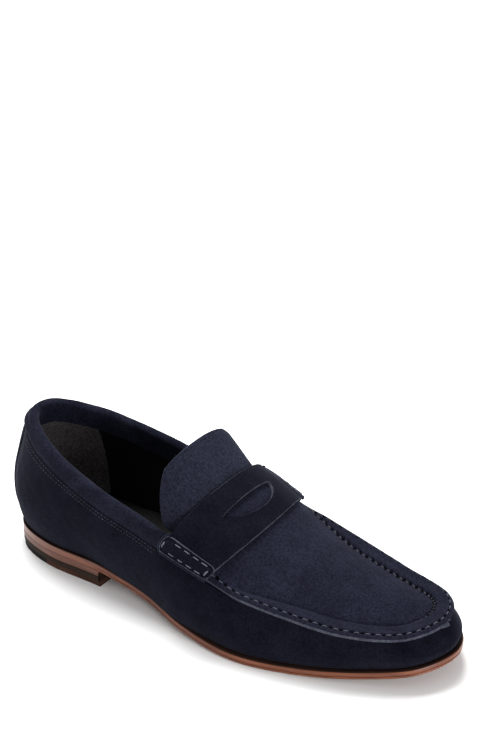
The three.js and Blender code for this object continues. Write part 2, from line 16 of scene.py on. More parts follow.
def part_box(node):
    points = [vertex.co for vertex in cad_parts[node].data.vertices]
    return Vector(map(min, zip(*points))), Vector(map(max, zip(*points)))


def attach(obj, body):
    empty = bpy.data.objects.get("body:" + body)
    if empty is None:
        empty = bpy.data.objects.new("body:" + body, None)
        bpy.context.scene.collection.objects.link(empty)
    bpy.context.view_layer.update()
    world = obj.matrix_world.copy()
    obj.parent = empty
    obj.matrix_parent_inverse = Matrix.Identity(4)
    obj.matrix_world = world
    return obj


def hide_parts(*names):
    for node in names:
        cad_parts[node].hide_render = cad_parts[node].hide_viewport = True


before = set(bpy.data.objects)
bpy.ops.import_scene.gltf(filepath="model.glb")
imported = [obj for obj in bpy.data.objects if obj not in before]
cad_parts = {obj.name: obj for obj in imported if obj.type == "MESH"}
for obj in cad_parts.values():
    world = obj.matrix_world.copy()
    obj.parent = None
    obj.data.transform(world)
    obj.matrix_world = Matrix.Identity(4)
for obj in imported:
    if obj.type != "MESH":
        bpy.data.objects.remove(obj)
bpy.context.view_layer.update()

# %% [markdown]
# ## The last
# A shoe is pulled over a last, so every piece of it follows one smooth form. It could be modelled by
# pushing points about, but then no two pieces would fit. Instead twenty stations round the last give the
# edge of the sole and the edge of the wall, and a smooth closed curve through them is the whole plan of the
# shoe. The frame was made from the same numbers, so the fine pieces land on it.

# %% Stations and sizes
HEEL_HEIGHT, SOLE_THICKNESS, TOE_SPRING = 11, 5, 12
BREAST_X, BALL_X, TIP_X = -71, 46, 149
SUEDE, LINING, GLUE, INSOLE = 1.8, 1.0, 0.45, 2.5
WALL_HEIGHT = 34
# each station: the sole's edge (x, y), then the wall's edge (x, y, z)
STATIONS = np.array([
    [-147.5, 1, -143, 1, 79], [-138, -20, -134.5, -16.5, 77.5], [-111, -31, -109, -30, 69.5],
    [-74, -33, -73, -36, 58], [-36, -37, -36, -39.5, 50.5], [-1, -48, -1, -44.5, 44.2],
    [36, -53, 31, -46, 37.6], [76, -44.5, 65, -42, 33], [111, -31.5, 97, -34, 28.9],
    [136, -18, 126, -18, 28.4], [147, 6, 138, 7, 31], [136, 30.5, 128, 26, 33],
    [108, 46.5, 96, 33, 36.3], [72, 53, 62, 36, 43.2], [38, 48, 30, 37, 50.6],
    [4, 37, 0, 39, 56.5], [-35, 30.5, -35, 40.5, 55.5], [-75, 31.5, -71, 39, 62.5],
    [-112, 32, -108.5, 31, 72], [-138.5, 22, -134.5, 17.5, 78]], float)
ROUND = len(STATIONS)
TOE = ROUND / 2
# row k over the instep joins station TOE - k outside to TOE + INNER_STEP * k inside, and has
# a rise and a spread
INNER_STEP = 0.94
CROWN = np.array([0, 3, 5.5, 8.5, 14, 25.5, 35], float)
SPREAD = np.array([0.3, 0.28, 0.26, 0.22, 0.17, 0.12, 0.1])
STRAP_FRONT, STRAP_BACK, STRAP_BOW = 4.5, 5.5, 0.35
LIP, APRON_BACK = 1.8, 5.2


def ramp(low, high, x):
    """0 below low, 1 above high, and a soft S between them."""
    t = np.clip((x - low) / (high - low), 0, 1)
    return t * t * (3 - 2 * t)


def hermite(a, m, b, n, t):
    """A curve from a to b that leaves with slope m and arrives with slope n."""
    return (a * (2 * t**3 - 3 * t**2 + 1) + m * (t**3 - 2 * t**2 + t)
            + b * (3 * t**2 - 2 * t**3) + n * (t**3 - t**2))


def around(points, u, slope=False):
    """The smooth closed curve through the points, u counted in stations."""
    u = np.asarray(u, float)
    i = np.floor(u).astype(int)
    t = (u - i)[..., None]
    before, a, b, after = (points[(i + k) % len(points)] for k in (-1, 0, 1, 2))
    m, n = (b - before) / 2, (after - a) / 2
    if slope:
        return (6 * t * t - 6 * t) * (a - b) + (3 * t * t - 4 * t + 1) * m + (3 * t * t - 2 * t) * n
    return hermite(a, m, b, n, t)


def along(values, at):
    """A smooth curve through evenly numbered values."""
    at = np.asarray(at, float)
    i = np.clip(np.floor(at), 0, len(values) - 2).astype(int)
    t = at - i
    a, b = values[i], values[i + 1]
    m = (b - values[np.maximum(0, i - 1)]) / 2
    n = (values[np.minimum(len(values) - 1, i + 2)] - a) / 2
    return hermite(a, m, b, n, t)


def bezier(a, b, c, d, t):
    """A curve from a to d with the handles b and c."""
    t = np.asarray(t, float)[..., None]
    s = 1 - t
    return a * s**3 + 3 * b * s * s * t + 3 * c * s * t * t + d * t**3


def flat3(xy):
    return np.concatenate([xy, np.zeros(xy.shape[:-1] + (1,))], -1)


def unit(v):
    return v / np.maximum(np.linalg.norm(v, axis=-1, keepdims=True), 1e-12)


UP = np.array([0, 0, 1.0])


def sole_edge(u):
    return flat3(around(STATIONS[:, :2], u))


def wall_edge(u):
    return around(STATIONS[:, 2:], u)


def outward(u):
    t = around(STATIONS[:, :2], u, slope=True)
    return unit(flat3(np.stack([t[..., 1], -t[..., 0]], -1)))


def sole_bottom(x):
    d = (x - BREAST_X) / (BALL_X - BREAST_X)
    down = np.clip((np.hypot(d, 0.05) + d) / 2, 0, 1)
    spring = np.clip((x - BALL_X) / (TIP_X - BALL_X), 0, 1)
    return HEEL_HEIGHT * (1 - down) ** 1.7 + TOE_SPRING * spring**2.2


def sole_top(x):
    return sole_bottom(x) + SOLE_THICKNESS


def feather(u, inset=0.0):
    """The line where the upper meets the sole: inside the sole's edge, but over it at the waist."""
    edge = sole_edge(u)
    x = edge[..., 0]
    waist = ramp(-85, -50, x) * (1 - ramp(-15, 30, x))
    margin = 0.8 + 1.3 * ramp(-70, 20, x) - 2.6 * waist + inset
    p = edge - outward(u) * np.asarray(margin)[..., None]
    p[..., 2] = sole_top(p[..., 0])
    return p


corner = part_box("outsole")[0]
plan = sole_edge(np.linspace(0, ROUND, 2000))
SHIFT = np.array([corner.x * 1000 - plan[:, 0].min(), corner.y * 1000 - plan[:, 1].min(), 0])
print("the frame stands %.2f, %.2f mm from the stations" % tuple(SHIFT[:2]))

# %% [markdown]
# ## From surfaces to leather
# Each piece of leather is a patch of a surface with a thickness. A Solidify and a Bevel modifier could give
# that, but they know nothing of a cut edge, so the helpers below do it with numbers. They take a grid of
# points, work out which way the surface faces, and close an outer and an inner copy of the grid with a rim.
# Close to the rim the outer side is rolled down a little, as cut leather is, and the grid has extra lines
# there to show it.

# %% Grids and slabs
def stops(start, end, count, length=0.0, roll=0.45):
    """Evenly spaced values, with closer ones over the last bit of length (in mm) at both ends."""
    even = np.linspace(start, end, count + 1)
    if not length:
        return even
    near = np.array([0.12, 0.3, 0.55, 0.8, 1.0]) * roll / length * (end - start)
    clear = abs(near[-1]) * 1.2
    middle = even[(np.abs(even - start) > clear) & (np.abs(even - end) > clear)]
    values = np.sort(np.concatenate([[start, end], start + near, end - near, middle]))
    return values if end > start else values[::-1]


def facing(surface, u, v, side=1):
    """Unit normals of a surface given as a function of two grids."""
    h = 1e-3
    du = surface(u + h, v) - surface(u - h, v)
    dv = surface(u, v + h) - surface(u, v - h)
    return unit(np.cross(du, dv)) * side


def run_along(line):
    """How far along a line each of its points lies, in mm."""
    return np.concatenate([[0], np.cumsum(np.linalg.norm(np.diff(line, axis=0), axis=-1))])


def rim_distance(points):
    """How far each point of a grid is from the grid's border, along its lines."""
    def run(p):
        steps = np.linalg.norm(np.diff(p, axis=0), axis=-1)
        s = np.concatenate([np.zeros((1, p.shape[1])), np.cumsum(steps, 0)])
        return np.minimum(s, s[-1] - s)
    return np.minimum(run(points), run(points.swapaxes(0, 1)).T)


def rolled(distance, radius):
    """How far the surface drops at that distance from a cut edge of that radius."""
    d = np.clip(radius - distance, 0, radius)
    return radius - np.sqrt(np.maximum(radius**2 - d**2, 0))


def faces_of(rows, columns, offset=0, turned=False):
    """The faces of a grid whose points are numbered from offset, row by row."""
    i, j = np.meshgrid(np.arange(rows - 1), np.arange(columns - 1), indexing="ij")
    a = offset + i * columns + j
    quad = np.stack([a, a + columns, a + columns + 1, a + 1], -1).reshape(-1, 4)
    return quad[:, ::-1] if turned else quad


def build(name, points, quads, look, body="shoe", sharp=35, marks=None, other_looks=()):
    """A mesh object from millimetre points, its faces turned to face out. marks gives each face the number of
    its look: 0 for look itself, 1 and up for other_looks."""
    points = np.asarray(points, float).reshape(-1, 3) + SHIFT
    quads = np.asarray(quads)
    mesh = bpy.data.meshes.new(name)
    mesh.vertices.add(len(points))
    mesh.vertices.foreach_set("co", (points / 1000).astype(np.float32).ravel())
    mesh.loops.add(quads.size)
    mesh.loops.foreach_set("vertex_index", quads.astype(np.int32).ravel())
    mesh.polygons.add(len(quads))
    mesh.polygons.foreach_set("loop_start", np.arange(0, quads.size, quads.shape[1], dtype=np.int32))
    mesh.polygons.foreach_set("use_smooth", np.ones(len(quads), bool))
    if marks is not None:
        mesh.polygons.foreach_set("material_index", marks.astype(np.int32))
    mesh.update(calc_edges=True)
    mesh.validate()
    bm = bmesh.new()
    bm.from_mesh(mesh)
    bmesh.ops.remove_doubles(bm, verts=bm.verts, dist=2e-7)
    bmesh.ops.recalc_face_normals(bm, faces=bm.faces)
    bm.to_mesh(mesh)
    bm.free()
    if sharp:
        mesh.set_sharp_from_angle(angle=math.radians(sharp))
    piece = bpy.data.objects.new(name, mesh)
    bpy.context.scene.collection.objects.link(piece)
    for each in (look, *other_looks):
        mesh.materials.append(each)
    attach(piece, body)
    return piece


def rim_faces(rows, columns, offset=0):
    """The faces between the border of one grid and the border of the next."""
    ring = np.concatenate([np.arange(columns), np.arange(1, rows) * columns + columns - 1,
                           (rows - 1) * columns + np.arange(columns - 2, -1, -1),
                           np.arange(rows - 2, 0, -1) * columns]) + offset
    following = np.roll(ring, -1)
    count = rows * columns
    return np.stack([ring, following, following + count, ring + count], -1)


def slab(outer, inner):
    """Points and faces of the solid between two grids."""
    rows, columns = outer.shape[:2]
    quads = [faces_of(rows, columns), faces_of(rows, columns, rows * columns, True), rim_faces(rows, columns)]
    return np.concatenate([outer.reshape(-1, 3), inner.reshape(-1, 3)]), np.concatenate(quads)


def raw_faces(distance, quads, width):
    """Marks the faces whose corners all lie within a width of the border, and the rim itself."""
    near = np.concatenate([distance.ravel() < width, np.zeros(distance.size, bool)])
    marked = near[quads].all(1)
    marked[2 * (distance.shape[0] - 1) * (distance.shape[1] - 1):] = True
    return marked


def leather(name, look, surface, us, vs, depths, side=1, roll=0.4, body="shoe", relief=None, cut=0.0):
    """A piece of leather over part of a surface. us are one row of values; vs a row, or one for each u.
    depths are how far below the surface its outer and inner faces lie. relief(points, u, v) lifts the outer
    face, in mm. cut is the width of a raw edge that shows."""
    vs = np.broadcast_to(vs, (len(us),) + np.shape(vs)[-1:])
    u = np.repeat(np.asarray(us)[:, None], vs.shape[1], 1)
    base, way = surface(u, vs), facing(surface, u, vs, side)
    top, bottom = (d(u, vs) if callable(d) else d for d in depths)
    lift = -rolled(rim_distance(base), roll) if roll else 0
    if relief is not None:
        lift = lift + relief(base, u, vs)
    outer = base + way * np.asarray(lift - top)[..., None]
    inner = base - way * (bottom + np.zeros(u.shape))[..., None]
    points, quads = slab(outer, inner)
    if not cut:
        return build(name, points, quads, look, body)
    # raw edges take the lighter cut-edge shade, partly painted highlight
    marks = raw_faces(rim_distance(base), quads, cut)
    return build(name, points, quads, look, body, marks=marks, other_looks=[CUT_EDGE_AND_HIGHLIGHT])


def waves(p, size, seed=0):
    """Soft unevenness from -1 to 1 whose bumps are about that many mm wide."""
    rng = np.random.default_rng(seed)
    total = np.zeros(p.shape[:-1])
    for _ in range(9):
        way = unit(rng.normal(size=3)) * (2 * math.pi / size) * rng.uniform(0.6, 1.5)
        total += np.sin(p @ way + rng.uniform(0, 6.28))
    return total / 4.5


print("leather is %.1f mm thick, linings %.1f mm" % (SUEDE, LINING))

# %% [markdown]
# ## Materials
# Suede is matt, but its nap catches light at the edges of a form, which is what a sheen layer is for. The
# nap also lies this way and that, so its colour drifts over a few millimetres, and a fine bump stands for
# the fibres. Hair would show every fibre, but at this distance they are too fine to tell apart. Polished
# leather has a coat over a warm, streaky base. Each is made of noise at two or three scales.

# %% Node helpers
def shader(name, roughness=0.8, sheen=0.0, sheen_tint=(1, 1, 1), coat=0.0, metal=0.0, specular=0.5):
    """A new material and its Principled shader."""
    look = bpy.data.materials.new(name)
    look.use_nodes = True
    principled = look.node_tree.nodes["Principled BSDF"]
    for socket, value in (("Roughness", roughness), ("Sheen Weight", sheen), ("Sheen Roughness", 0.45),
                          ("Sheen Tint", (*sheen_tint, 1)), ("Coat Weight", coat), ("Coat Roughness", 0.22),
                          ("Metallic", metal), ("Specular IOR Level", specular)):
        principled.inputs[socket].default_value = value
    return look, principled


def noise(look, scale, detail=4, stretch=(1, 1, 1), kind="ShaderNodeTexNoise"):
    """A noise node in the object's own metres: a scale of 1000 is one bump a millimetre."""
    tree = look.node_tree
    place = tree.nodes.new("ShaderNodeTexCoord")
    mapping = tree.nodes.new("ShaderNodeMapping")
    mapping.inputs["Scale"].default_value = stretch
    texture = tree.nodes.new(kind)
    texture.inputs["Scale"].default_value = scale
    if "Detail" in texture.inputs:
        texture.inputs["Detail"].default_value = detail
    tree.links.new(place.outputs["Object"], mapping.inputs["Vector"])
    tree.links.new(mapping.outputs["Vector"], texture.inputs["Vector"])
    return texture.outputs["Fac" if "Fac" in texture.outputs else "Distance"]


def colours(look, value, *stages):
    """A colour ramp: stages are (position, (r, g, b))."""
    node = look.node_tree.nodes.new("ShaderNodeValToRGB")
    while len(node.color_ramp.elements) < len(stages):
        node.color_ramp.elements.new(0.5)
    for element, (at, colour) in zip(node.color_ramp.elements, stages):
        element.position = at
        element.color = (*colour, 1)
    look.node_tree.links.new(value, node.inputs["Fac"])
    return node.outputs["Color"]


def blend(look, a, b, factor, mode="MIX"):
    node = look.node_tree.nodes.new("ShaderNodeMix")
    node.data_type = "RGBA"
    node.blend_type = mode
    for socket, value in ((node.inputs[0], factor), (node.inputs[6], a), (node.inputs[7], b)):
        if isinstance(value, bpy.types.NodeSocket):
            look.node_tree.links.new(value, socket)
        else:
            socket.default_value = value if not isinstance(value, tuple) else (*value, 1)
    return node.outputs[2]


def bumpy(look, principled, *layers):
    """Bumps from (value, height in mm) layers, one on top of another."""
    previous = None
    for value, height in layers:
        node = look.node_tree.nodes.new("ShaderNodeBump")
        node.inputs["Distance"].default_value = height / 1000
        node.inputs["Strength"].default_value = 1
        look.node_tree.links.new(value, node.inputs["Height"])
        if previous:
            look.node_tree.links.new(previous, node.inputs["Normal"])
        previous = node.outputs["Normal"]
    look.node_tree.links.new(previous, principled.inputs["Normal"])


print("node helpers ready")

# %% Suede and leather
FIBRE_CONTRAST = 0.7


def suede(name, dark, light):
    """Nap: a dark and a light shade of one dye, mixed by how the fibres lie."""
    look, principled = shader(name, 0.95, sheen=0.05, sheen_tint=(0.7, 0.75, 1.0), specular=0.04)
    patches = noise(look, 65, 5, (1, 1.4, 1))
    fibres = noise(look, 780, 6)
    soft = colours(look, patches, (0.34, dark), (0.66, light))
    fine = colours(look, fibres, (0.34, (0.42, 0.42, 0.45)), (0.66, (1.62, 1.62, 1.64)))
    mixed = blend(look, soft, fine, FIBRE_CONTRAST, "MULTIPLY")
    look.node_tree.links.new(mixed, principled.inputs["Base Color"])
    bumpy(look, principled, (noise(look, 190, 4), 0.2), (noise(look, 1300, 4), 0.16))
    return look


def smooth_leather(name, dark, light, roughness=0.5, grain=900, height=0.06, coat=0.0, stretch=(1, 1, 1),
                   specular=0.5):
    """Leather, rubber or cloth with a grain of pores, grain of them a metre and height mm deep."""
    look, principled = shader(name, roughness, coat=coat, specular=specular)
    shade = colours(look, noise(look, 70, 5, stretch), (0.3, dark), (0.7, light))
    look.node_tree.links.new(shade, principled.inputs["Base Color"])
    pores = noise(look, grain, 2, kind="ShaderNodeTexVoronoi")
    bumpy(look, principled, (pores, height), (noise(look, 240, 4), height * 1.5))
    return look


# One navy suede in several shades. The wall's is darker and the top's and tongue's lighter: painted shade and
# light for a shoe lit from above, partly also nap lying different ways.
SHADED_WALL_SUEDE = suede("wall_suede", (0.0026, 0.0026, 0.0062), (0.0052, 0.0052, 0.0106))
LIT_TOP_SUEDE = suede("lit_top_suede", (0.0068, 0.0075, 0.0142), (0.0098, 0.0108, 0.0195))
LIT_TONGUE_SUEDE = suede("tongue_suede", (0.0108, 0.0120, 0.0208), (0.0138, 0.0153, 0.0256))
STRAP_SUEDE = suede("strap_suede", (0.0022, 0.0023, 0.0054), (0.0040, 0.0043, 0.0086))
COLLAR_SUEDE = suede("collar_suede", (0.0044, 0.0048, 0.0098), (0.0100, 0.0110, 0.0195))
GRIP_SUEDE = suede("heel_grip_suede", (0.0320, 0.0280, 0.0285), (0.0500, 0.0445, 0.0455))
# a lighter shade for raw cut edges: partly the raw fuzz's own colour, partly painted highlight where the
# edges catch light
CUT_EDGE_AND_HIGHLIGHT = suede("cut_edge_and_highlight", (0.028, 0.030, 0.042), (0.052, 0.055, 0.072))
# near black for the deepest stitch pits: painted shade in the hollows
PIT_SHADE = suede("stitch_pit_shade", (0.0008, 0.0008, 0.0016), (0.0016, 0.0016, 0.0028))
BLACK_LEATHER = smooth_leather("black_lining_leather", (0.0012, 0.0012, 0.0014), (0.0026, 0.0025, 0.0028),
                               0.75, specular=0.12)
SOCK_LEATHER = smooth_leather("sock_leather", (0.0052, 0.0050, 0.0052), (0.0090, 0.0086, 0.0090), 0.8,
                              specular=0.1)
SOLE_EDGE = smooth_leather("sole_edge", (0.095, 0.024, 0.009), (0.200, 0.060, 0.026), 0.42, 1500, 0.02,
                           coat=0.3, stretch=(0.5, 0.5, 7), specular=0.3)
HEEL_STACK = smooth_leather("heel_stack", (0.090, 0.030, 0.017), (0.155, 0.058, 0.037), 0.45, 1500, 0.02,
                            coat=0.12, stretch=(0.6, 0.6, 6), specular=0.3)
HEEL_FRONT = smooth_leather("heel_front", (0.030, 0.011, 0.006), (0.065, 0.024, 0.014), 0.55, 1500, 0.02,
                            stretch=(0.6, 0.6, 6), specular=0.15)
DARK_LIFT = smooth_leather("dark_lift", (0.010, 0.006, 0.004), (0.040, 0.025, 0.018), 0.65, 1500, 0.02,
                           stretch=(0.4, 0.4, 9), specular=0.1)
# a dark shade: painted shade in the gap between the wall and the sole's top, and on the heel's breast its
# dark finish, partly painted shade
SOLE_GAP_SHADE_AND_BREAST = smooth_leather("sole_gap_shade_and_breast", (0.012, 0.005, 0.003), (0.022, 0.009, 0.006), 0.7, 1500, 0.02,
                          specular=0.15)
RUBBER = smooth_leather("rubber", (0.006, 0.006, 0.006), (0.011, 0.010, 0.010), 0.8, 700, 0.05, specular=0.15)
CLOTH = smooth_leather("lining_cloth", (0.014, 0.013, 0.012), (0.028, 0.026, 0.024), 0.95, 1600, 0.12)
BOARD = smooth_leather("insole_board", (0.36, 0.25, 0.14), (0.50, 0.36, 0.22), 0.9, 800, 0.05)
CORK = smooth_leather("cork", (0.20, 0.11, 0.05), (0.38, 0.23, 0.12), 0.95, 500, 0.3)
FOAM = smooth_leather("foam", (0.62, 0.58, 0.48), (0.76, 0.72, 0.62), 0.95, 1300, 0.2)
STIFFENER = smooth_leather("stiffener", (0.48, 0.42, 0.32), (0.62, 0.56, 0.44), 0.9, 900, 0.08)


def metal(name, dark, light, roughness):
    look, principled = shader(name, roughness, metal=1)
    shade = colours(look, noise(look, 200, 4, (1, 8, 1)), (0.3, dark), (0.7, light))
    look.node_tree.links.new(shade, principled.inputs["Base Color"])
    bumpy(look, principled, (noise(look, 900, 3, (1, 10, 1)), 0.02))
    return look


STEEL = metal("steel", (0.42, 0.43, 0.45), (0.58, 0.60, 0.62), 0.35)
BRASS = metal("brass", (0.52, 0.36, 0.14), (0.72, 0.52, 0.22), 0.35)


def thread_look(name, dark, light):
    look, principled = shader(name, 0.75, sheen=0.3)
    shade = colours(look, noise(look, 1300, 3, (1, 1, 3)), (0.3, dark), (0.7, light))
    look.node_tree.links.new(shade, principled.inputs["Base Color"])
    bumpy(look, principled, (noise(look, 2600, 2, (1, 4, 1)), 0.08))
    return look


THREAD = thread_look("grey_thread", (0.050, 0.053, 0.072), (0.100, 0.105, 0.135))
DIM_THREAD = thread_look("dim_thread", (0.026, 0.028, 0.042), (0.055, 0.059, 0.082))
FINE_THREAD = thread_look("fine_navy_thread", (0.008, 0.0085, 0.014), (0.018, 0.019, 0.028))
print("materials", len(bpy.data.materials))

# %% [markdown]
# ## The wall
# The wall of a moccasin is one long strip of suede that stands up from the sole all round. It leans out
# over the feather line, is fullest a third of the way up, and comes back in to the seam. A sculpted shape
# would do, but a curve of four handles at each station makes that belly evenly and in few numbers. Below
# the feather the leather turns under the insole, where it is glued.

# %% The wall's surface
LASTING_RADIUS, LASTING_MARGIN = 2, 12
BEND_SHARE = 0.4
HANDLE = 0.36


def wall_handles(u):
    """The wall's foot, its two handles and its upper edge."""
    foot = feather(u)
    foot[..., 2] += GLUE + LASTING_RADIUS
    edge, out = wall_edge(u), outward(u)
    rise = (edge[..., 2] - foot[..., 2])[..., None]
    heel = ramp(-85, -140, foot[..., 0])[..., None]
    toe = ramp(60, 130, foot[..., 0])[..., None]
    a = foot + UP * HANDLE * rise + out * (4 + 4.5 * heel - 0.5 * toe)
    b = edge - UP * HANDLE * rise + out * (3 + 2.2 * heel + 0.4 * toe)
    return foot, a, b, edge


def wall(u, v):
    """v from 0 at the feather to 1 at the seam; below 0 it bends and turns in under the insole."""
    u, v = np.broadcast_arrays(np.asarray(u, float), np.asarray(v, float))
    upper = bezier(*wall_handles(u), np.maximum(v, 0))
    turned = np.minimum(1, -v / BEND_SHARE)
    angle = turned * math.pi / 2
    past_bend = np.maximum(0, (-v - BEND_SHARE) / (1 - BEND_SHARE))
    inwards = LASTING_RADIUS * (1 - np.cos(angle)) + past_bend * (LASTING_MARGIN - LASTING_RADIUS)
    under = feather(u) - outward(u) * inwards[..., None]
    under[..., 2] = sole_top(under[..., 0]) + GLUE + LASTING_RADIUS * (1 - np.sin(angle))
    return np.where((v >= 0)[..., None], upper, under)


def wall_relief(p, u, v):
    """Leather on a last is never quite even, and gathers in small creases above the sole at the toe."""
    soft = 0.22 * waves(p, 34, 1) + 0.07 * waves(p, 9, 2)
    low_band = np.exp(-((v - 0.12) / 0.12) ** 2) * ramp(95, 130, p[..., 0])
    return (soft - 0.12 * low_band * (1 + np.sin(u * 46))) * ramp(0, 0.15, v) * ramp(1, 0.9, v)


SEAM_GAP = 0.012
us = np.linspace(SEAM_GAP, ROUND - SEAM_GAP, 1100)
vs = np.concatenate([np.linspace(-1, -0.42, 6), np.linspace(-0.4, -0.02, 10),
                     stops(0, 1, 84, WALL_HEIGHT)[1:]])
# the wall takes the darker suede shade: painted shade on sides that face away from the overhead light
piece = leather("wall_suede", SHADED_WALL_SUEDE, wall, us, vs, (0, SUEDE), relief=wall_relief)
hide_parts("moccasin_wall")
print("wall", len(piece.data.vertices), "points")

# %% [markdown]
# ## The top of the foot
# Rows across the instep run from the outer edge to the inner edge. Near the strap they arch in one bow.
# Over the toes the apron is flatter: its border is gathered into a raised, level band that stands over the
# wall, drops at an inner line, and then swells into a low dome. A few control points could not hold that
# band all the way round, so the height is worked out from the distance to the apron's edge.

# %% The instep's surface
RIDGE, BAND = 2.3, 10.5


def lip_width(k):
    return LIP * (1 - 0.7 * ramp(3.8, 4.4, k))


def lip_line(u, k):
    return wall_edge(u) + UP * (GLUE + SUEDE) + outward(u) * lip_width(k)[..., None]


outer_rows = np.linspace(5.4, 0, 450)
inner_rows = outer_rows[::-1]
inner_lip = lip_line(TOE + INNER_STEP * inner_rows, inner_rows)
EDGE = np.concatenate([lip_line(TOE - outer_rows, outer_rows), inner_lip[1:]])
EDGE_ROW = np.concatenate([outer_rows, inner_rows[1:]])
EDGE_RUN = run_along(EDGE)


def from_edge(p):
    """Plan distance from the apron's cut edge, and how far along that edge the nearest point is."""
    shape = p.shape[:-1]
    flat = p.reshape(-1, 3)[:, :2]
    distance, run = np.full(len(flat), 1e9), np.zeros(len(flat))
    step = np.diff(EDGE[:, :2], axis=0)
    for i in range(0, len(flat), 8000):
        part = flat[i:i + 8000]
        best = ((part[:, None] - EDGE[None, :, :2]) ** 2).sum(-1).argmin(1)
        for first in (np.maximum(best - 1, 0), np.minimum(best, len(step) - 1)):
            gap = part - EDGE[first, :2]
            t = np.clip((gap * step[first]).sum(-1) / (step[first] ** 2).sum(-1), 0, 1)
            found = np.linalg.norm(gap - step[first] * t[:, None], axis=-1)
            closer = found < distance[i:i + 8000]
            distance[i:i + 8000][closer] = found[closer]
            run[i:i + 8000][closer] = (EDGE_RUN[first] + t * np.diff(EDGE_RUN)[first])[closer]
    return distance.reshape(shape), run.reshape(shape)


def bow_row(k, w):
    """The plain bowed row across the instep, with the apron's lip."""
    k, w = np.broadcast_arrays(np.asarray(k, float), np.asarray(w, float))
    a = wall_edge(TOE - k) + UP * (GLUE + SUEDE)
    d = wall_edge(TOE + INNER_STEP * k) + UP * (GLUE + SUEDE)
    across = (d - a) * along(SPREAD, k)[..., None]
    rise = (along(CROWN, k) / 0.75)[..., None]
    p = bezier(a, a + across + UP * rise, d - across + UP * rise, d, w)
    inside = np.minimum(np.linalg.norm(p - a, axis=-1), np.linalg.norm(p - d, axis=-1))
    side = np.where((w < 0.5)[..., None], outward(TOE - k), outward(TOE + INNER_STEP * k))
    flare = lip_width(k) * (1 - ramp(0, 9, inside))
    return p + side * flare[..., None]


def bow(w):
    """How many rows further forward the middle of the strap lies than its ends."""
    return STRAP_BOW * 4 * w * (1 - w)


def narrowing(k):
    """The gathered band is full over the toes and runs out under the strap."""
    return 1 - 0.85 * ramp(2.7, 4.7, k)


def ridge_height(s, k):
    """The band round the apron: up at 45 degrees, nearly level, then down to the inner line."""
    narrow = narrowing(k)
    top = BAND * narrow
    start = ramp(-1.2, 3.4, 0)
    up = RIDGE * (ramp(-1.2, 3.4, s / (0.4 + 0.6 * narrow)) - start) / (1 - start)
    run = np.clip((s - 2.5) / np.maximum(top - 2.5, 1), 0, 1)
    return up - narrow * (0.9 * run + ramp(top - 0.6, top + 1.4, s))


def apron(k, w, with_distance=False):
    """Row k back from the toe, w across it. with_distance also gives the distances and heights worked out."""
    k, w = np.broadcast_arrays(np.asarray(k, float), np.asarray(w, float))
    k = k * (1 - bow(w) / STRAP_BACK)
    p = bow_row(k, w)
    a, d = wall_edge(TOE - k), wall_edge(TOE + INNER_STEP * k)
    span = np.linalg.norm((d - a)[..., :2], axis=-1)
    part = np.clip(((p - a)[..., :2] * (d - a)[..., :2]).sum(-1) / np.maximum(span**2, 1e-9), 0, 1)
    base = a[..., 2] + part * (d - a)[..., 2] + GLUE + SUEDE
    s, run = from_edge(p)
    top = BAND * narrowing(k)
    half = span / 2 + LIP
    swell = 1 - (1 - np.clip((s - top - 1) / np.maximum(half - top - 1, 4), 0, 1)) ** 2.2
    crown = along(CROWN, k) - ridge_height(top + 3, k)
    height = base + ridge_height(s, k) + crown * swell
    mixed = ramp(3.7, 4.5, k)
    p[..., 2] = height * (1 - mixed) + p[..., 2] * mixed
    return (p, s, run, k, base) if with_distance else p


print("the apron's edge is %.0f mm long" % EDGE_RUN[-1])

# %% The apron
OUTER_PITCH, INNER_PITCH, OUTER_ROW = 6.0, 4.6, 2.6
INNER_LINE = 0.6


def grid_normals(p):
    """Normals of a grid of points, all turned upwards."""
    du, dv = np.gradient(p, axis=0), np.gradient(p, axis=1)
    n = unit(np.cross(du, dv))
    return n * np.sign(n[..., 2:3] + 1e-9)


def dips(run, pitch):
    """From 0 to 1, once each pitch."""
    return (0.5 + 0.5 * np.cos(run / pitch * 2 * math.pi)) ** 2


def pits(s, run, k, w):
    """Where a thread pulls the leather in, from 0 to 1: along the outer row, and along the inner line."""
    outer_pit = np.exp(-((s - OUTER_ROW) / 0.85) ** 4) * dips(run, OUTER_PITCH)
    zigzag = s - BAND * narrowing(k) - INNER_LINE - 0.45 * np.sign(np.sin(run / INNER_PITCH * math.pi))
    inner_pit = np.exp(-(zigzag / 0.95) ** 4) * dips(run, INNER_PITCH)
    return outer_pit * ramp(5.1, 4.9, k), inner_pit * ramp(0.46, 0.54, w) * ramp(4.6, 4.3, k)


def apron_relief(s, run, k, p, w):
    """Soft unevenness, a groove and a crease along the two rows of thread, the pits, and a bulge between."""
    soft = 0.16 * waves(p, 26, 5) * ramp(1, 8, s) + 0.05 * waves(p, 7, 6)
    outer_pit, inner_pit = pits(s, run, k, w)
    groove = 0.3 * np.exp(-((s - OUTER_ROW) / 0.9) ** 2)
    line = s - BAND * narrowing(k) - INNER_LINE
    crease = (0.3 + 0.25 * ramp(0.54, 0.46, w)) * np.exp(-(line / 1.1) ** 2) * ramp(4.3, 3.4, k)
    bulge = 0.35 * np.exp(-((line + 2.4) / 1.8) ** 2) * ramp(4.0, 3.0, k)
    return soft - groove - 1.15 * outer_pit - crease - 1.0 * inner_pit + bulge


rows = stops(0.03, APRON_BACK, 420, 120)
across = stops(0, 1, 300, 80)
k, w = np.meshgrid(rows, across, indexing="ij")
points, s, run, k_row, seam_top = apron(k, w, with_distance=True)
way = grid_normals(points)
to_rim = rim_distance(points)
lift = apron_relief(s, run, k_row, points, w) - rolled(to_rim, 0.4)
outer = points + way * lift[..., None]
inner = points - way * SUEDE
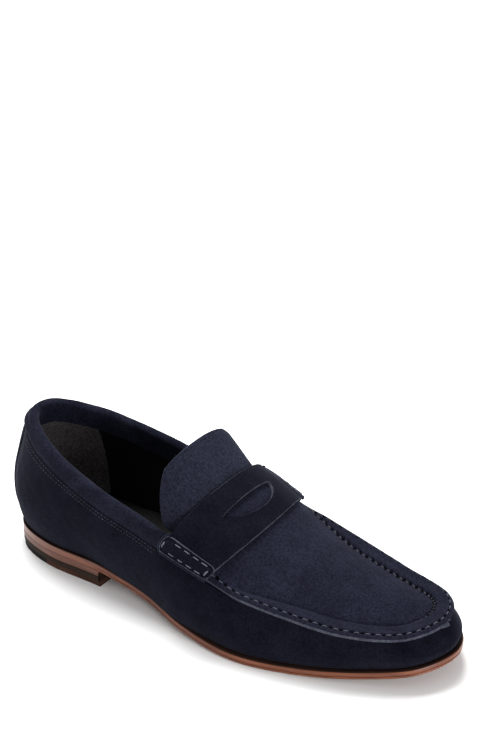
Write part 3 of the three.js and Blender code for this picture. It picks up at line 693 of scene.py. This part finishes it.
# over the wall the leather is bunched up, so that no light gets in at the seam
inner[..., 2] -= np.maximum(0, inner[..., 2] - (seam_top - SUEDE - 0.25)) * ramp(5.5, 3.6, s)
solid_points, quads = slab(outer, inner)
# the apron takes the lighter top shade, partly painted light; its raw edges the cut-edge shade, partly
# painted highlight; and its deepest pits the near-black pit shade, painted shade in the hollows
marks = raw_faces(to_rim, quads, 0.45).astype(int)
deep = np.concatenate([np.maximum(*pits(s, run, k_row, w)).ravel() > 0.35, np.zeros(s.size, bool)])
marks[deep[quads].all(1)] = 2
piece = build("apron_suede", solid_points, quads, LIT_TOP_SUEDE, marks=marks, other_looks=[CUT_EDGE_AND_HIGHLIGHT, PIT_SHADE])
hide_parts("apron")
print("apron", len(piece.data.vertices), "points")

# %% [markdown]
# ## Stitches
# A stitch is a short thread that comes up through one hole and goes down through the next. Between holes it
# lies on the leather and pulls it in. A picture of stitches would be quick, but it would stay flat in a low
# light. So each one here is a small tube whose ends dive under the surface, and the gaps between them are
# where the thread runs below.

# %% Threads along a line
def along_run(run, line, at):
    """Points of a line at given distances along it."""
    return np.stack([np.interp(at, run, line[:, i]) for i in range(3)], -1)


def tube(centre, up, thick, sides=8):
    """Points and faces of a closed tube along a line, a little flatter than it is wide."""
    rings = len(centre)
    side = unit(np.cross(unit(np.gradient(centre, axis=0)), up))
    turn = np.linspace(0, 2 * math.pi, sides, endpoint=False)
    ring = centre[:, None] + np.broadcast_to(thick, rings)[:, None, None] * (
        side[:, None] * np.cos(turn)[None, :, None] + up[:, None] * np.sin(turn)[None, :, None] * 0.85)
    i, j = np.meshgrid(np.arange(rings - 1), np.arange(sides), indexing="ij")
    a, b = i * sides + j, i * sides + (j + 1) % sides
    j = np.arange(0, sides, 2)
    cap, last = rings * sides, (rings - 1) * sides
    quads = [np.stack([a, b, b + sides, a + sides], -1).reshape(-1, 4),
             np.stack([np.full(len(j), cap), (j + 2) % sides, j + 1, j], -1),
             np.stack([np.full(len(j), cap + 1), last + j, last + j + 1, last + (j + 2) % sides], -1)]
    return np.concatenate([ring.reshape(-1, 3), centre[:1], centre[-1:]]), np.concatenate(quads)


def dashes(name, look, line, normals, pitch, length, radius, run=None, start=None, lift=0.15, dive=0.7,
           lean=0.0):
    """Threads along a line: one each pitch, of that length. run is how far along each point of the line
    counts, lift how high a thread lies, dive how deep its ends go, and lean how far it lies askew."""
    if run is None:
        run = run_along(line)
    rng = np.random.default_rng(7)
    points, quads, first = [], [], 0
    for begin in np.arange(run[0] if start is None else start, run[-1] - length, pitch):
        t = np.linspace(0, 1, 9)
        at = begin + rng.normal() * 0.04 * length + t * length * (1 + rng.normal() * 0.05)
        centre, up = along_run(run, line, at), unit(along_run(run, normals, at))
        centre += np.cross(unit(np.gradient(centre, axis=0)), up) * (lean * (t - 0.5))[:, None]
        centre += up * (lift - dive * np.abs(2 * t - 1) ** 4)[:, None]
        found, faces = tube(centre, up, radius * (1 - 0.35 * np.abs(2 * t - 1) ** 3))
        points.append(found)
        quads.append(faces + first)
        first += len(found)
    return build(name, np.concatenate(points), np.concatenate(quads), look, sharp=0)


def inset_line(distance, from_row, to_row, steps=700):
    """Points in plan, distance(row) in from the apron's cut edge, from a row on the outer side round to one
    on the inner side, and how far along the edge each lies."""
    half = len(EDGE_ROW) // 2
    run = np.linspace(np.interp(-from_row, -EDGE_ROW[:half], EDGE_RUN[:half]),
                      np.interp(to_row, EDGE_ROW[half:], EDGE_RUN[half:]), steps)
    line = along_run(EDGE_RUN, EDGE, run)
    way = np.gradient(line, axis=0)
    inwards = unit(flat3(np.stack([-way[:, 1], way[:, 0]], -1)))
    return line + inwards * distance(np.interp(run, EDGE_RUN, EDGE_ROW))[:, None], run


def on_apron(line):
    """The height and the facing of the built apron under points given in plan."""
    flat = outer.reshape(-1, 3)
    found, way_found = line.copy(), line.copy()
    flat_way = grid_normals(outer).reshape(-1, 3)
    for i in range(0, len(line), 50):
        square = ((line[i:i + 50, None, :2] - flat[None, :, :2]) ** 2).sum(-1)
        near = np.argpartition(square, 4, axis=1)[:, :4]
        found[i:i + 50, 2] = flat[near][..., 2].mean(1)
        way_found[i:i + 50] = flat_way[near].mean(1)
    return found, unit(way_found)


def after_pit(run, pitch):
    """The first place on a row where a stitch comes up behind a pit."""
    return (math.ceil(run[0] / pitch) + 0.2) * pitch


line, run = inset_line(lambda row: OUTER_ROW + 0 * row, 4.85, 4.75)
outer_row = dashes("apron_stitches", DIM_THREAD, *on_apron(line), OUTER_PITCH, 3.5, 0.25, run,
                   after_pit(run, OUTER_PITCH))
line, run = inset_line(lambda row: BAND * narrowing(row) + INNER_LINE, 0.7, 4.3)
inner_row = dashes("whip_stitches", FINE_THREAD, *on_apron(line), INNER_PITCH, 2.3, 0.3, run,
                   after_pit(run, INNER_PITCH), lean=0.9)
print("apron threads", len(outer_row.data.vertices), len(inner_row.data.vertices))

# %% [markdown]
# ## The saddle strap
# The strap is one bowed band of suede laid over the instep. Its slot is a half moon, nearly straight
# towards the tongue and curved towards the toe. A Boolean could cut it, but would leave a ragged edge in
# curved leather. So this grid is a ring: its inner loop runs round the slot and its outer loop round the
# strap, and every point between is a mix of the two.

# %% The strap
SLOT = dict(middle=0.525, half=0.188, back=0.59, belly=0.28)
STRAP_TOP = GLUE + SUEDE


def strap(t, w):
    return bow_row(STRAP_FRONT - bow(w) + t * (STRAP_BACK - STRAP_FRONT), w)


turns = np.linspace(0, 2 * math.pi, 721)
cosine, sine = np.cos(turns), np.sin(turns)
moon = np.where(sine < 0, SLOT["belly"] * (1 + 0.3 * cosine) / 1.05, 0.045) * sine
hole = np.stack([SLOT["back"] + moon, SLOT["middle"] + SLOT["half"] * cosine], -1)
square = np.maximum(np.abs(cosine), np.abs(sine))
border = np.stack([0.5 + 0.5 * sine / square, 0.5 + 0.5 * cosine / square], -1)
mix = np.concatenate([[0, 0.004, 0.01, 0.02, 0.035], np.linspace(0.05, 0.95, 50),
                      [0.965, 0.98, 0.99, 0.996, 1]])
tw = hole[:, None] * (1 - mix[None, :, None]) + border[:, None] * mix[None, :, None]
t, w = tw[..., 0], tw[..., 1]
base = strap(t, w)
way = facing(strap, t, w, -1)
span = np.linalg.norm(np.diff(base, axis=1), axis=-1)
out_run = np.concatenate([np.zeros((len(turns), 1)), np.cumsum(span, 1)], 1)
from_rim = np.minimum(out_run, out_run[:, -1:] - out_run)
uneven = 0.16 * waves(base, 24, 9) * ramp(0, 5, from_rim)
swollen_rim = 0.10 * np.exp(-(from_rim / 1.2) ** 2)
lift = STRAP_TOP - rolled(from_rim, 0.45) + uneven + swollen_rim
top_points, under_points = base + way * lift[..., None], base + way * GLUE
strap_points = np.concatenate([top_points.reshape(-1, 3), under_points.reshape(-1, 3)])
rows_n, cols_n = t.shape
count = rows_n * cols_n
first = np.arange(rows_n - 1) * cols_n
slot_side = np.stack([first, first + cols_n, first + cols_n + count, first + count], -1)
border_side = np.stack([first, first + count, first + cols_n + count, first + cols_n], -1) + cols_n - 1
quads = np.concatenate([faces_of(rows_n, cols_n), faces_of(rows_n, cols_n, count, True),
                        slot_side, border_side])
# the strap's raw edges take the lighter cut-edge shade, partly painted highlight
piece = build("strap_suede", strap_points, quads, STRAP_SUEDE, marks=raw_faces(from_rim, quads, 0.35),
              other_looks=[CUT_EDGE_AND_HIGHLIGHT])
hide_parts("saddle_strap")
print("strap", len(piece.data.vertices), "points")

# %% [markdown]
# ## The patches at the strap's ends
# On either side a small patch of suede covers the strap's end and is sewn down through every layer. A
# rolled strip runs round its back end and its lower edge, and a thin light tube along its rim stands for
# its cut edge and is partly a painted highlight. The patch lies on the strap's own surface, a little
# higher, so it bends with it.

# %% Patches
TAB, TAB_CORNER, TAB_OVERLAP = 0.094, 0.14, 0.03
TAB_LOW = 2 * GLUE + SUEDE


def tab_span(t, w0, w1):
    """How far the patch reaches across at each t: its corners are round."""
    e = np.clip(np.minimum(t + TAB_OVERLAP, 1 + TAB_OVERLAP - t) / TAB_CORNER, 0, 1)
    inwards = 0.4 * (w1 - w0) * (1 - np.sqrt(1 - (1 - e) ** 2))
    return w0 + inwards, w1 - inwards


def tab_relief(p, u, v):
    """A groove where the patch is sewn, and a fuller middle."""
    edge = rim_distance(p)
    return 0.1 * waves(p, 9, 12) - 0.4 * np.exp(-((edge - 1.7) / 0.5) ** 2) + 0.35 * ramp(2.0, 3.4, edge)


for side_name, w0, w1 in (("outer", 0.004, TAB), ("inner", 1 - TAB, 0.996)):
    ts = 0.5 - 0.53 * np.cos(np.linspace(0, math.pi, 150))
    low_w, high_w = tab_span(ts, w0, w1)
    vs = low_w[:, None] + (high_w - low_w)[:, None] * stops(0, 1, 44, 8)[None, :]
    depths = (-TAB_LOW - 1.2, -TAB_LOW)
    piece = leather("strap_patch_" + side_name, STRAP_SUEDE, strap, ts, vs, depths, -1, 0.5,
                    relief=tab_relief, cut=0.35)
    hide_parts("strap_tab_" + side_name)
    inset = 0.2 * (w1 - w0)
    lines = []
    for end in (w0 + inset, w1 - inset):
        t_row = np.linspace(0.13, 0.92, 80)
        lines.append((t_row, np.full(80, end), 6.4, 4.5, 0.3))
    for at, bend in ((0.065, 0.0), (0.945, 0.03)):
        w_row = np.linspace(w0 + inset * 1.1, w1 - inset * 1.1, 30)
        arc = 1 - (2 * (w_row - w0) / (w1 - w0) - 1) ** 2
        lines.append((at + bend * arc, w_row, 50, 4.6, 0.55))
    for number, (t_row, w_row, pitch, length, radius) in enumerate(lines):
        up = facing(strap, t_row, w_row, -1)
        line = strap(t_row, w_row) + up * (TAB_LOW + 1.1)
        row_name = "patch_%s_stitches_%d" % (side_name, number + 1)
        threads = dashes(row_name, THREAD, line, up, pitch, length, radius)
    # a rolled strip runs round the patch's back end and along its lower edge
    low, high = (w0, w1) if side_name == "outer" else (w1, w0)
    turn = np.linspace(0, math.pi / 2, 20)
    t_row = np.concatenate([0.98 + 0.06 * np.sin(turn), 1.04 - 0.1 * (1 - np.cos(turn)),
                            np.linspace(0.93, -0.02, 60)])
    w_row = np.concatenate([high - (high - low) * 0.5 * (1 - np.cos(turn)),
                            (low + high) / 2 - (high - low) * 0.5 * np.sin(turn), np.full(60, low)])
    up = facing(strap, t_row, w_row, -1)
    centre = strap(t_row, w_row) + up * (TAB_LOW + 0.5)
    piping = build("patch_%s_piping" % side_name, *tube(centre, up, 1.1, 12), COLLAR_SUEDE)
    side = unit(np.cross(unit(np.gradient(centre, axis=0)), up)) * (1 if side_name == "outer" else -1)
    # a thin tube in the lighter cut-edge shade along the strip's upper rim: its cut edge, partly a painted
    # highlight where the rim catches light
    rim = centre - side * 0.75 + up * 0.75
    piping_highlight = build("patch_%s_piping_edge_highlight" % side_name, *tube(rim, up, 0.22, 6), CUT_EDGE_AND_HIGHLIGHT)
print("patches done")

# %% [markdown]
# ## The tongue
# The tongue lies under the strap and stands up behind it. It is one layer of suede with a thin lining, and
# a groove runs close to its edge. Cloth simulation could drape it, but its shape is simple: the strap's
# rows carry on underneath, and the free part leans back in a straight line. It bends where it is sewn, so
# it rides on its own body.

# %% Tongue
TONGUE_LENGTH = 30
TONGUE_WAY = unit(np.array([-0.7, 0, 0.7]))


def tongue(t, w):
    t, w = np.broadcast_arrays(np.asarray(t, float), np.asarray(w, float))
    side = np.abs(2 * w - 1)
    tuck = 6 * ramp(0.45, 1, side)
    row = STRAP_BACK - bow(w) - 0.4 * np.maximum(0, -t)
    base = bow_row(row, w)
    base = base + np.stack([np.zeros(w.shape), np.where(w < 0.5, 1, -1) * tuck, np.zeros(w.shape)], -1)
    free = np.maximum(0, t) * TONGUE_LENGTH * (1 - 0.3 * side**2.4)
    return base + TONGUE_WAY * free[..., None]


def tongue_half(t):
    """Half of the tongue's width at each t, as a share of the row."""
    free = np.clip(t, 0, 1)
    return 0.42 * np.sqrt(1 - 0.7 * free**3) + 0.04 * np.sin(math.pi * free**0.8)


def tongue_relief(p, u, v):
    groove = np.exp(-((rim_distance(p) - 3.2) / 0.6) ** 2)
    return 0.14 * waves(p, 20, 15) - 0.16 * groove


rows = stops(-0.5, 1, 150, 42)
share = stops(0, 1, 220, 70)
half = tongue_half(rows)[:, None]
vs = 0.5 - half + 2 * half * share[None, :]
# the tongue takes a lighter suede shade: partly painted light on a face turned up to the lights
piece = leather("tongue_suede", LIT_TONGUE_SUEDE, tongue, rows, vs, (0.5, 2.0), -1, 0.5, body="tongue_flap",
                relief=tongue_relief, cut=0.3)
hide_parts("tongue")
rows = stops(-0.4, 0.94, 60, 40)
half = tongue_half(rows)[:, None] - 0.03
vs = 0.5 - half + 2 * half * stops(0, 1, 80, 60)[None, :]
piece = leather("tongue_lining_leather", BLACK_LEATHER, tongue, rows, vs, (2.3, 3.2), -1, 0.3,
                body="tongue_flap", relief=lambda p, u, v: 0.08 * waves(p, 12, 16))
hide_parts("tongue_lining")
print("tongue done")

# %% [markdown]
# ## The collar
# The collar is a strip of suede folded over soft foam. Outside it ends on the wall above two rows of
# stitches, and inside it comes down as a wide facing. A round tube along the topline would look like a
# rope, so its section is a path of its own, up the outside, over the top and down inside. It is swept round
# the topline, and thins out towards the strap.

# %% Collar
COLLAR_RISE, COLLAR_THICKNESS, COLLAR_TURN_IN = 10.5, 6.5, 15
COLLAR_FOOT = 0.12
COLLAR_FROM, COLLAR_TO = -4.98, 4.56


def collar_axes(u):
    """The topline at each u, the way the wall leaves it, and the way out from the shoe."""
    _, _, b, edge = wall_handles(u)
    up = unit(edge - b)
    tangent = unit(around(STATIONS[:, 2:], u, slope=True))
    return edge, up, unit(np.cross(tangent, up))


def collar_path(u, depth):
    """Up and in, in mm from the wall's edge, for a row of the collar at each u."""
    full = 0.62 + 0.38 * ramp(0, 1.2, np.minimum(COLLAR_TO - u, u - COLLAR_FROM))
    radius = (COLLAR_THICKNESS * full / 2 - depth)[:, None]
    top = (COLLAR_RISE - COLLAR_THICKNESS * 0.5 * full)[:, None]
    middle = (COLLAR_THICKNESS * full / 2)[:, None]
    t = np.linspace(0, 1, 24)[None, :]
    heel = 1.5 * ramp(2.2, 0.4, np.abs(u))[:, None]
    belly = (0.5 + heel) * np.sin(math.pi * t) ** 1.1
    side_up = COLLAR_FOOT + t * (top - COLLAR_FOOT), middle - radius - belly
    angle = np.linspace(0, math.pi, 28)[None, 1:-1]
    cap = top + radius * np.sin(angle), middle - radius * np.cos(angle)
    down = np.linspace(0, 1, 40)[None, :]
    side_down = top + down * (COLLAR_RISE - COLLAR_TURN_IN - top), middle + radius + 0 * down
    return tuple(np.concatenate([x, y, z], 1) for x, y, z in zip(side_up, cap, side_down))


def collar_grid(us, depth):
    edge, up, out = collar_axes(us)
    height, inwards = collar_path(us, depth)
    return edge[:, None] + up[:, None] * height[..., None] - out[:, None] * inwards[..., None]


us = np.linspace(COLLAR_FROM + 0.02, COLLAR_TO - 0.02, 760)
skin, inner = collar_grid(us, 0.0), collar_grid(us, 1.1)
way = grid_normals(skin)
flip = np.sign(((skin - skin.mean(1, keepdims=True)) * way).sum(-1, keepdims=True))
soft = 0.18 * waves(skin, 16, 21) + 0.08 * waves(skin, 5, 22)
skin = skin + way * flip * (soft * 0.8)[..., None]
piece = build("collar_suede", *slab(skin, inner), COLLAR_SUEDE)
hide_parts("collar_binding")

us = np.linspace(-3.6, 3.3, 300)
edge, up, out = collar_axes(us)
heights = np.linspace(0.8, COLLAR_RISE - 2.2, 12)
middle = edge[:, None] + up[:, None] * heights[None, :, None]
half_foam = np.where(heights > COLLAR_RISE - 3.5, 1, 1.7)
sides = [middle - out[:, None] * (COLLAR_THICKNESS / 2 + sign * half_foam)[None, :, None] for sign in (-1, 1)]
piece = build("collar_padding", *slab(*sides), FOAM)
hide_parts("collar_foam")

# %% Collar stitches
us = np.linspace(COLLAR_FROM + 0.25, COLLAR_TO - 0.2, 1600)
for number, below in enumerate((1.3, 3.0)):
    vs = np.full(us.shape, 1 - below / WALL_HEIGHT)
    line, up = wall(us, vs), facing(wall, us, vs)
    line = line + up * wall_relief(line, us, vs)[:, None]
    row_name = "collar_stitches_%d" % (number + 1)
    threads = dashes(row_name, FINE_THREAD, line, up, 2.4, 1.7, 0.13, lift=0.05, dive=0.4)
print("collar done")

# %% [markdown]
# ## Back strip and linings
# A narrow strip covers the seam at the back of the heel. Inside, a suede grip holds the heel, smooth black
# leather lines the quarters, and cloth lines the front of the shoe. Each is the wall's own surface again,
# further out or further in, so nothing has to be fitted by hand.

# %% Back strip, linings and stiffeners
def from_heel(u):
    """How many stations from the heel's middle, either way."""
    u = np.mod(u, ROUND)
    return np.minimum(u, ROUND - u)


def lining_depth(u):
    """How far inside the wall's surface the lining starts, with room for counter and toe stiffener."""
    return (SUEDE + GLUE + (1.5 + 1.3 * GLUE) * (1 - ramp(2.9, 3.6, from_heel(u)))
            + (1.1 + GLUE) * (1 - ramp(2.6, 3.2, np.abs(np.mod(u, ROUND) - TOE))))


# the back strip takes the wall's darker suede shade: partly painted shade
piece = leather("back_strip_suede", SHADED_WALL_SUEDE, wall, stops(-0.62, 0.62, 60, 26), stops(0.03, 0.97, 90, 60),
                (-GLUE - 1.1, -GLUE), roll=0.5, relief=lambda p, u, v: 0.1 * waves(p, 10, 31), cut=0.3)
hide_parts("back_strip")


def lining(name, node, look, start, end, lap=0.0, thickness=LINING, slant=0.0, cut=0.0):
    """A lining between two stations. lap sets it further in, where it covers its neighbours' ends, and slant
    makes it wider at the bottom."""
    us = stops(start, end, 160, 60)
    u_mod = np.mod(us, ROUND)
    behind_strap = ramp(0, 0.3, from_heel(us) - np.where(u_mod < ROUND / 2, 4.6, 4.95))
    top = (0.92 + 0.04 * behind_strap)[:, None]
    vs = 0.05 + (top - 0.05) * stops(0, 1, 40, 40)[None, :]
    depths = (lambda u, v: lining_depth(u) + lap, lambda u, v: lining_depth(u) + lap + thickness)
    piece = leather(name, look, lambda u, v: wall(u * (1 + slant * (0.7 - v)), v), us, vs, depths, roll=0,
                    relief=lambda p, u, v: 0.06 * waves(p, 9, 33), cut=cut)
    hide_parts(node)


lining("heel_grip_suede", "heel_grip", GRIP_SUEDE, -1.9, 1.9, 1.1, 0.65, 0.2, 0.35)
lining("outer_quarter_lining", "quarter_lining_outer", BLACK_LEATHER, 1.8, 5.2)
lining("inner_quarter_lining", "quarter_lining_inner", BLACK_LEATHER, ROUND - 5.2,
       ROUND - 1.8)
lining("vamp_cloth", "vamp_lining", CLOTH, 5.21, ROUND - 5.21)

cloth_top = SUEDE + 4 * GLUE
piece = leather("apron_cloth", CLOTH, apron, stops(1.3, APRON_BACK - 0.1, 80, 100), stops(0.2, 0.8, 60, 60),
                (cloth_top, cloth_top + 0.8), -1, roll=0)
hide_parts("apron_lining")
print("linings done")

# %% [markdown]
# ## The sock, the sole and the heel
# The sock liner is a thin leather with a turned edge that shows as a fine line round the footbed. The
# sole's edge is trimmed, dyed and polished: a bright rounded band above, a narrow groove, and a bead below.
# Over the heel it is flat and flush with the lifts. A profile swept along the outline would pinch at the
# toe, so a plate here is a pile of outlines, each a little further in or out, at its own height.

# %% Plates over the plan
def plate(name, look, rings, span=(0, TOE), steps=420, across=40, cut_x=None, painted_shade_from=None):
    """Stacks grids over the plan, each given by an outline and a height, into one solid. From ring
    painted_shade_from up it is in painted shade, for the gap under the wall; on a straight cut, the heel's
    breast, it is in its dark finish, partly painted shade."""
    us = np.linspace(*span, steps)
    share = np.linspace(0, 1, across + 1)[None, :, None]
    grids = []
    for outline, height in rings:
        a, b = outline(us), outline(ROUND - us)
        if cut_x is not None:
            for side in (a, b):
                side[:, 0] = np.minimum(side[:, 0], cut_x)
        p = a[:, None] * (1 - share) + b[:, None] * share
        p[..., 2] = height(p[..., 0])
        grids.append(p)
    rows, columns = grids[0].shape[:2]
    size = rows * columns
    steps_up = range(len(grids) - 1)
    quads = [faces_of(rows, columns, 0, True), faces_of(rows, columns, size * len(steps_up))]
    quads += [rim_faces(rows, columns, g * size) for g in steps_up]
    points = np.concatenate([g.reshape(-1, 3) for g in grids])
    shaded = painted_shade_from is not None
    dark = [False, shaded] + [shaded and g >= painted_shade_from for g in steps_up]
    marks = np.concatenate([np.full(len(q), d) for q, d in zip(quads, dark)])
    quads = np.concatenate(quads)
    # faces on the straight cut, the heel's breast, take the dark look: its dark finish, partly painted shade
    if cut_x is not None:
        marks |= (points[quads][..., 0] > cut_x - 0.4).all(1)
    used, place = np.unique(quads, return_inverse=True)
    return build(name, points[used], place.reshape(-1, 4), look, sharp=50, marks=marks,
                 other_looks=[SOLE_GAP_SHADE_AND_BREAST])


def from_sole(inset):
    return lambda u: sole_edge(u) - outward(u) * inset


def above_sole(height):
    return lambda x: sole_bottom(x) + height


def flush(inset):
    """The trimmed edge of the sole: shaped in front, but flat and flush with the lifts over the heel."""
    def outline(u):
        edge = sole_edge(u)
        shaped = ramp(BREAST_X - 14, BREAST_X + 10, edge[:, 0])
        return edge - outward(u) * (inset * shaped + (0.2 + 0.1 * (inset > 1)) * (1 - shaped))[:, None]
    return outline


# how far in and how high, in mm: the bead, the groove, the polished band and its rounded top; from the
# third-last ring up, and on the top face, the sole is in painted shade for the gap under the wall
edge_profile = [(1.3, 0), (0.7, 0.1), (0.35, 0.4), (0.2, 0.8), (0.2, 1.3), (0.35, 1.55),
                (0.75, 1.7), (0.8, 1.9), (0.4, 2.05),
                (0.12, 2.35), (0, 2.8), (0.02, 3.4), (0.15, 4.0), (0.45, 4.5), (0.9, 4.85), (1.5, 5.0)]
piece = plate("sole_leather", SOLE_EDGE, [(flush(i), above_sole(h)) for i, h in edge_profile], steps=700,
              painted_shade_from=len(edge_profile) - 3)
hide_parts("outsole")


def inside_lining(inset):
    return lambda u: feather(u, lining_depth(u) + LINING + 0.8 + inset)


def above_insole(height):
    return lambda x: sole_top(x) + SOCK_LOW + height


SOCK_LOW = GLUE + SUEDE + GLUE + INSOLE + GLUE
sock_profile = [(0.0, 0.0), (0.0, 0.7), (0.12, 1.0), (0.4, 1.2), (1.3, 1.2), (1.6, 1.05), (1.9, 1.2)]
piece = plate("sock_leather", SOCK_LEATHER, [(inside_lining(i), above_insole(h)) for i, h in sock_profile])
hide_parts("sock_liner")
print("sock", len(piece.data.vertices), "points")

# %% Heel
LIFT = HEEL_HEIGHT / 3
HEEL_SPAN = (0, 3.4)


def lift_side(inset, low, high):
    """Rings up the side of a heel lift. Its edges lie a touch further in, so a fine line shows there."""
    found = []
    for part, extra in ((0.0, 0.1), (0.06, 0.0), (0.5, -0.03), (0.94, 0.0), (1.0, 0.1)):
        found.append((from_sole(inset + extra),
                      lambda x, part=part: low(x) + (high(x) - low(x)) * part))
    return found


def level(z):
    return lambda x: z + 0 * x


# on both lifts the faces on the breast take the dark look: its dark finish, partly painted shade
rings = lift_side(0.2, level(2 * LIFT), above_sole(-0.1))
piece = plate("heel_leather", HEEL_STACK, rings, HEEL_SPAN, 160, 30, BREAST_X)
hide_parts("heel_lift_upper")
rings = lift_side(0.4, level(LIFT), level(2 * LIFT - 0.1))
piece = plate("heel_dark_lift", DARK_LIFT, rings, HEEL_SPAN, 160, 30, BREAST_X)
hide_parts("heel_lift_lower")
print("heel done")

# %% [markdown]
# ## The pieces that stay as they are
# What is hidden between the layers keeps its CAD shape and only gets its material: a finer shape would
# never be seen. The heel's top piece shows its edge, but it is a plain plate and is right as it is.

# %% Finishes for the carried-over nodes
FINISH = {"top_piece_leather": HEEL_FRONT, "top_piece_rubber": RUBBER, "insole_board": BOARD, "shank": STEEL,
          "cork_filler": CORK, "heel_counter": STIFFENER, "toe_stiffener": STIFFENER,
          **{"heel_nail_%d" % i: BRASS for i in range(1, 7)}}
for name, look in FINISH.items():
    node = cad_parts[name]
    node.data.materials.clear()
    node.data.materials.append(look)
print("finished", len(FINISH), "nodes")

# %% [markdown]
# ## Studio
# A pale floor, a white sky, a large soft light high up behind the heel and a weaker, lower one from the toe
# give the soft shadow of a product picture. A sky alone would leave the suede flat, and small lamps would
# throw hard shadows. The camera looks down at the outer side of the shoe from in front of the toe.

# %% Floor and lights
mesh = bpy.data.meshes.new("floor")
bm = bmesh.new()
bmesh.ops.create_grid(bm, x_segments=1, y_segments=1, size=12)
bm.to_mesh(mesh)
bm.free()
floor = bpy.data.objects.new("floor", mesh)
bpy.context.scene.collection.objects.link(floor)
paper, principled = shader("paper", 0.95, specular=0.1)
principled.inputs["Base Color"].default_value = (0.9, 0.9, 0.9, 1)
mesh.materials.append(paper)

world = bpy.data.worlds.new("studio")
bpy.context.scene.world = world
world.use_nodes = True
world.node_tree.nodes["Background"].inputs["Color"].default_value = (1, 1, 1, 1)
world.node_tree.nodes["Background"].inputs["Strength"].default_value = 0.5


def softbox(name, place, target, size, power):
    """A rectangular light at a place, turned to its target."""
    light = bpy.data.lights.new(name, "AREA")
    light.shape = "RECTANGLE"
    light.size, light.size_y = size
    light.energy = power
    lamp = bpy.data.objects.new(name, light)
    lamp.location = place
    lamp.rotation_euler = (Vector(target) - Vector(place)).to_track_quat("-Z", "Y").to_euler()
    bpy.context.scene.collection.objects.link(lamp)


softbox("overhead", (-0.5, 0.4, 1.4), (0, 0, 0), (0.9, 0.7), 38)
softbox("front", (1.3, -0.6, 0.45), (0.02, 0, 0.04), (0.8, 0.6), 15)
bpy.context.scene.view_settings.view_transform = "Standard"
print("lights", len(bpy.data.lights))

# %% Camera
azimuth, elevation = math.radians(33.62), math.radians(28.98)
right = Vector((math.cos(azimuth), math.sin(azimuth), 0))
back = Vector((math.sin(azimuth) * math.cos(elevation), -math.cos(azimuth) * math.cos(elevation),
               math.sin(elevation)))
up = back.cross(right)
target = Vector((6.69 + SHIFT[0], SHIFT[1], 119.21)) / 1000
CAMERA_DISTANCE = 1.2
turned_to = Matrix((right, up, back)).transposed().to_4x4()
camera = bpy.data.cameras.new("camera")
camera.lens = 105.16
camera.shift_y = 0.0755
lens = bpy.data.objects.new("camera", camera)
lens.matrix_world = Matrix.Translation(target + back * CAMERA_DISTANCE) @ turned_to
bpy.context.scene.collection.objects.link(lens)
bpy.context.scene.camera = lens
print("camera", [round(v, 3) for v in lens.matrix_world.translation])
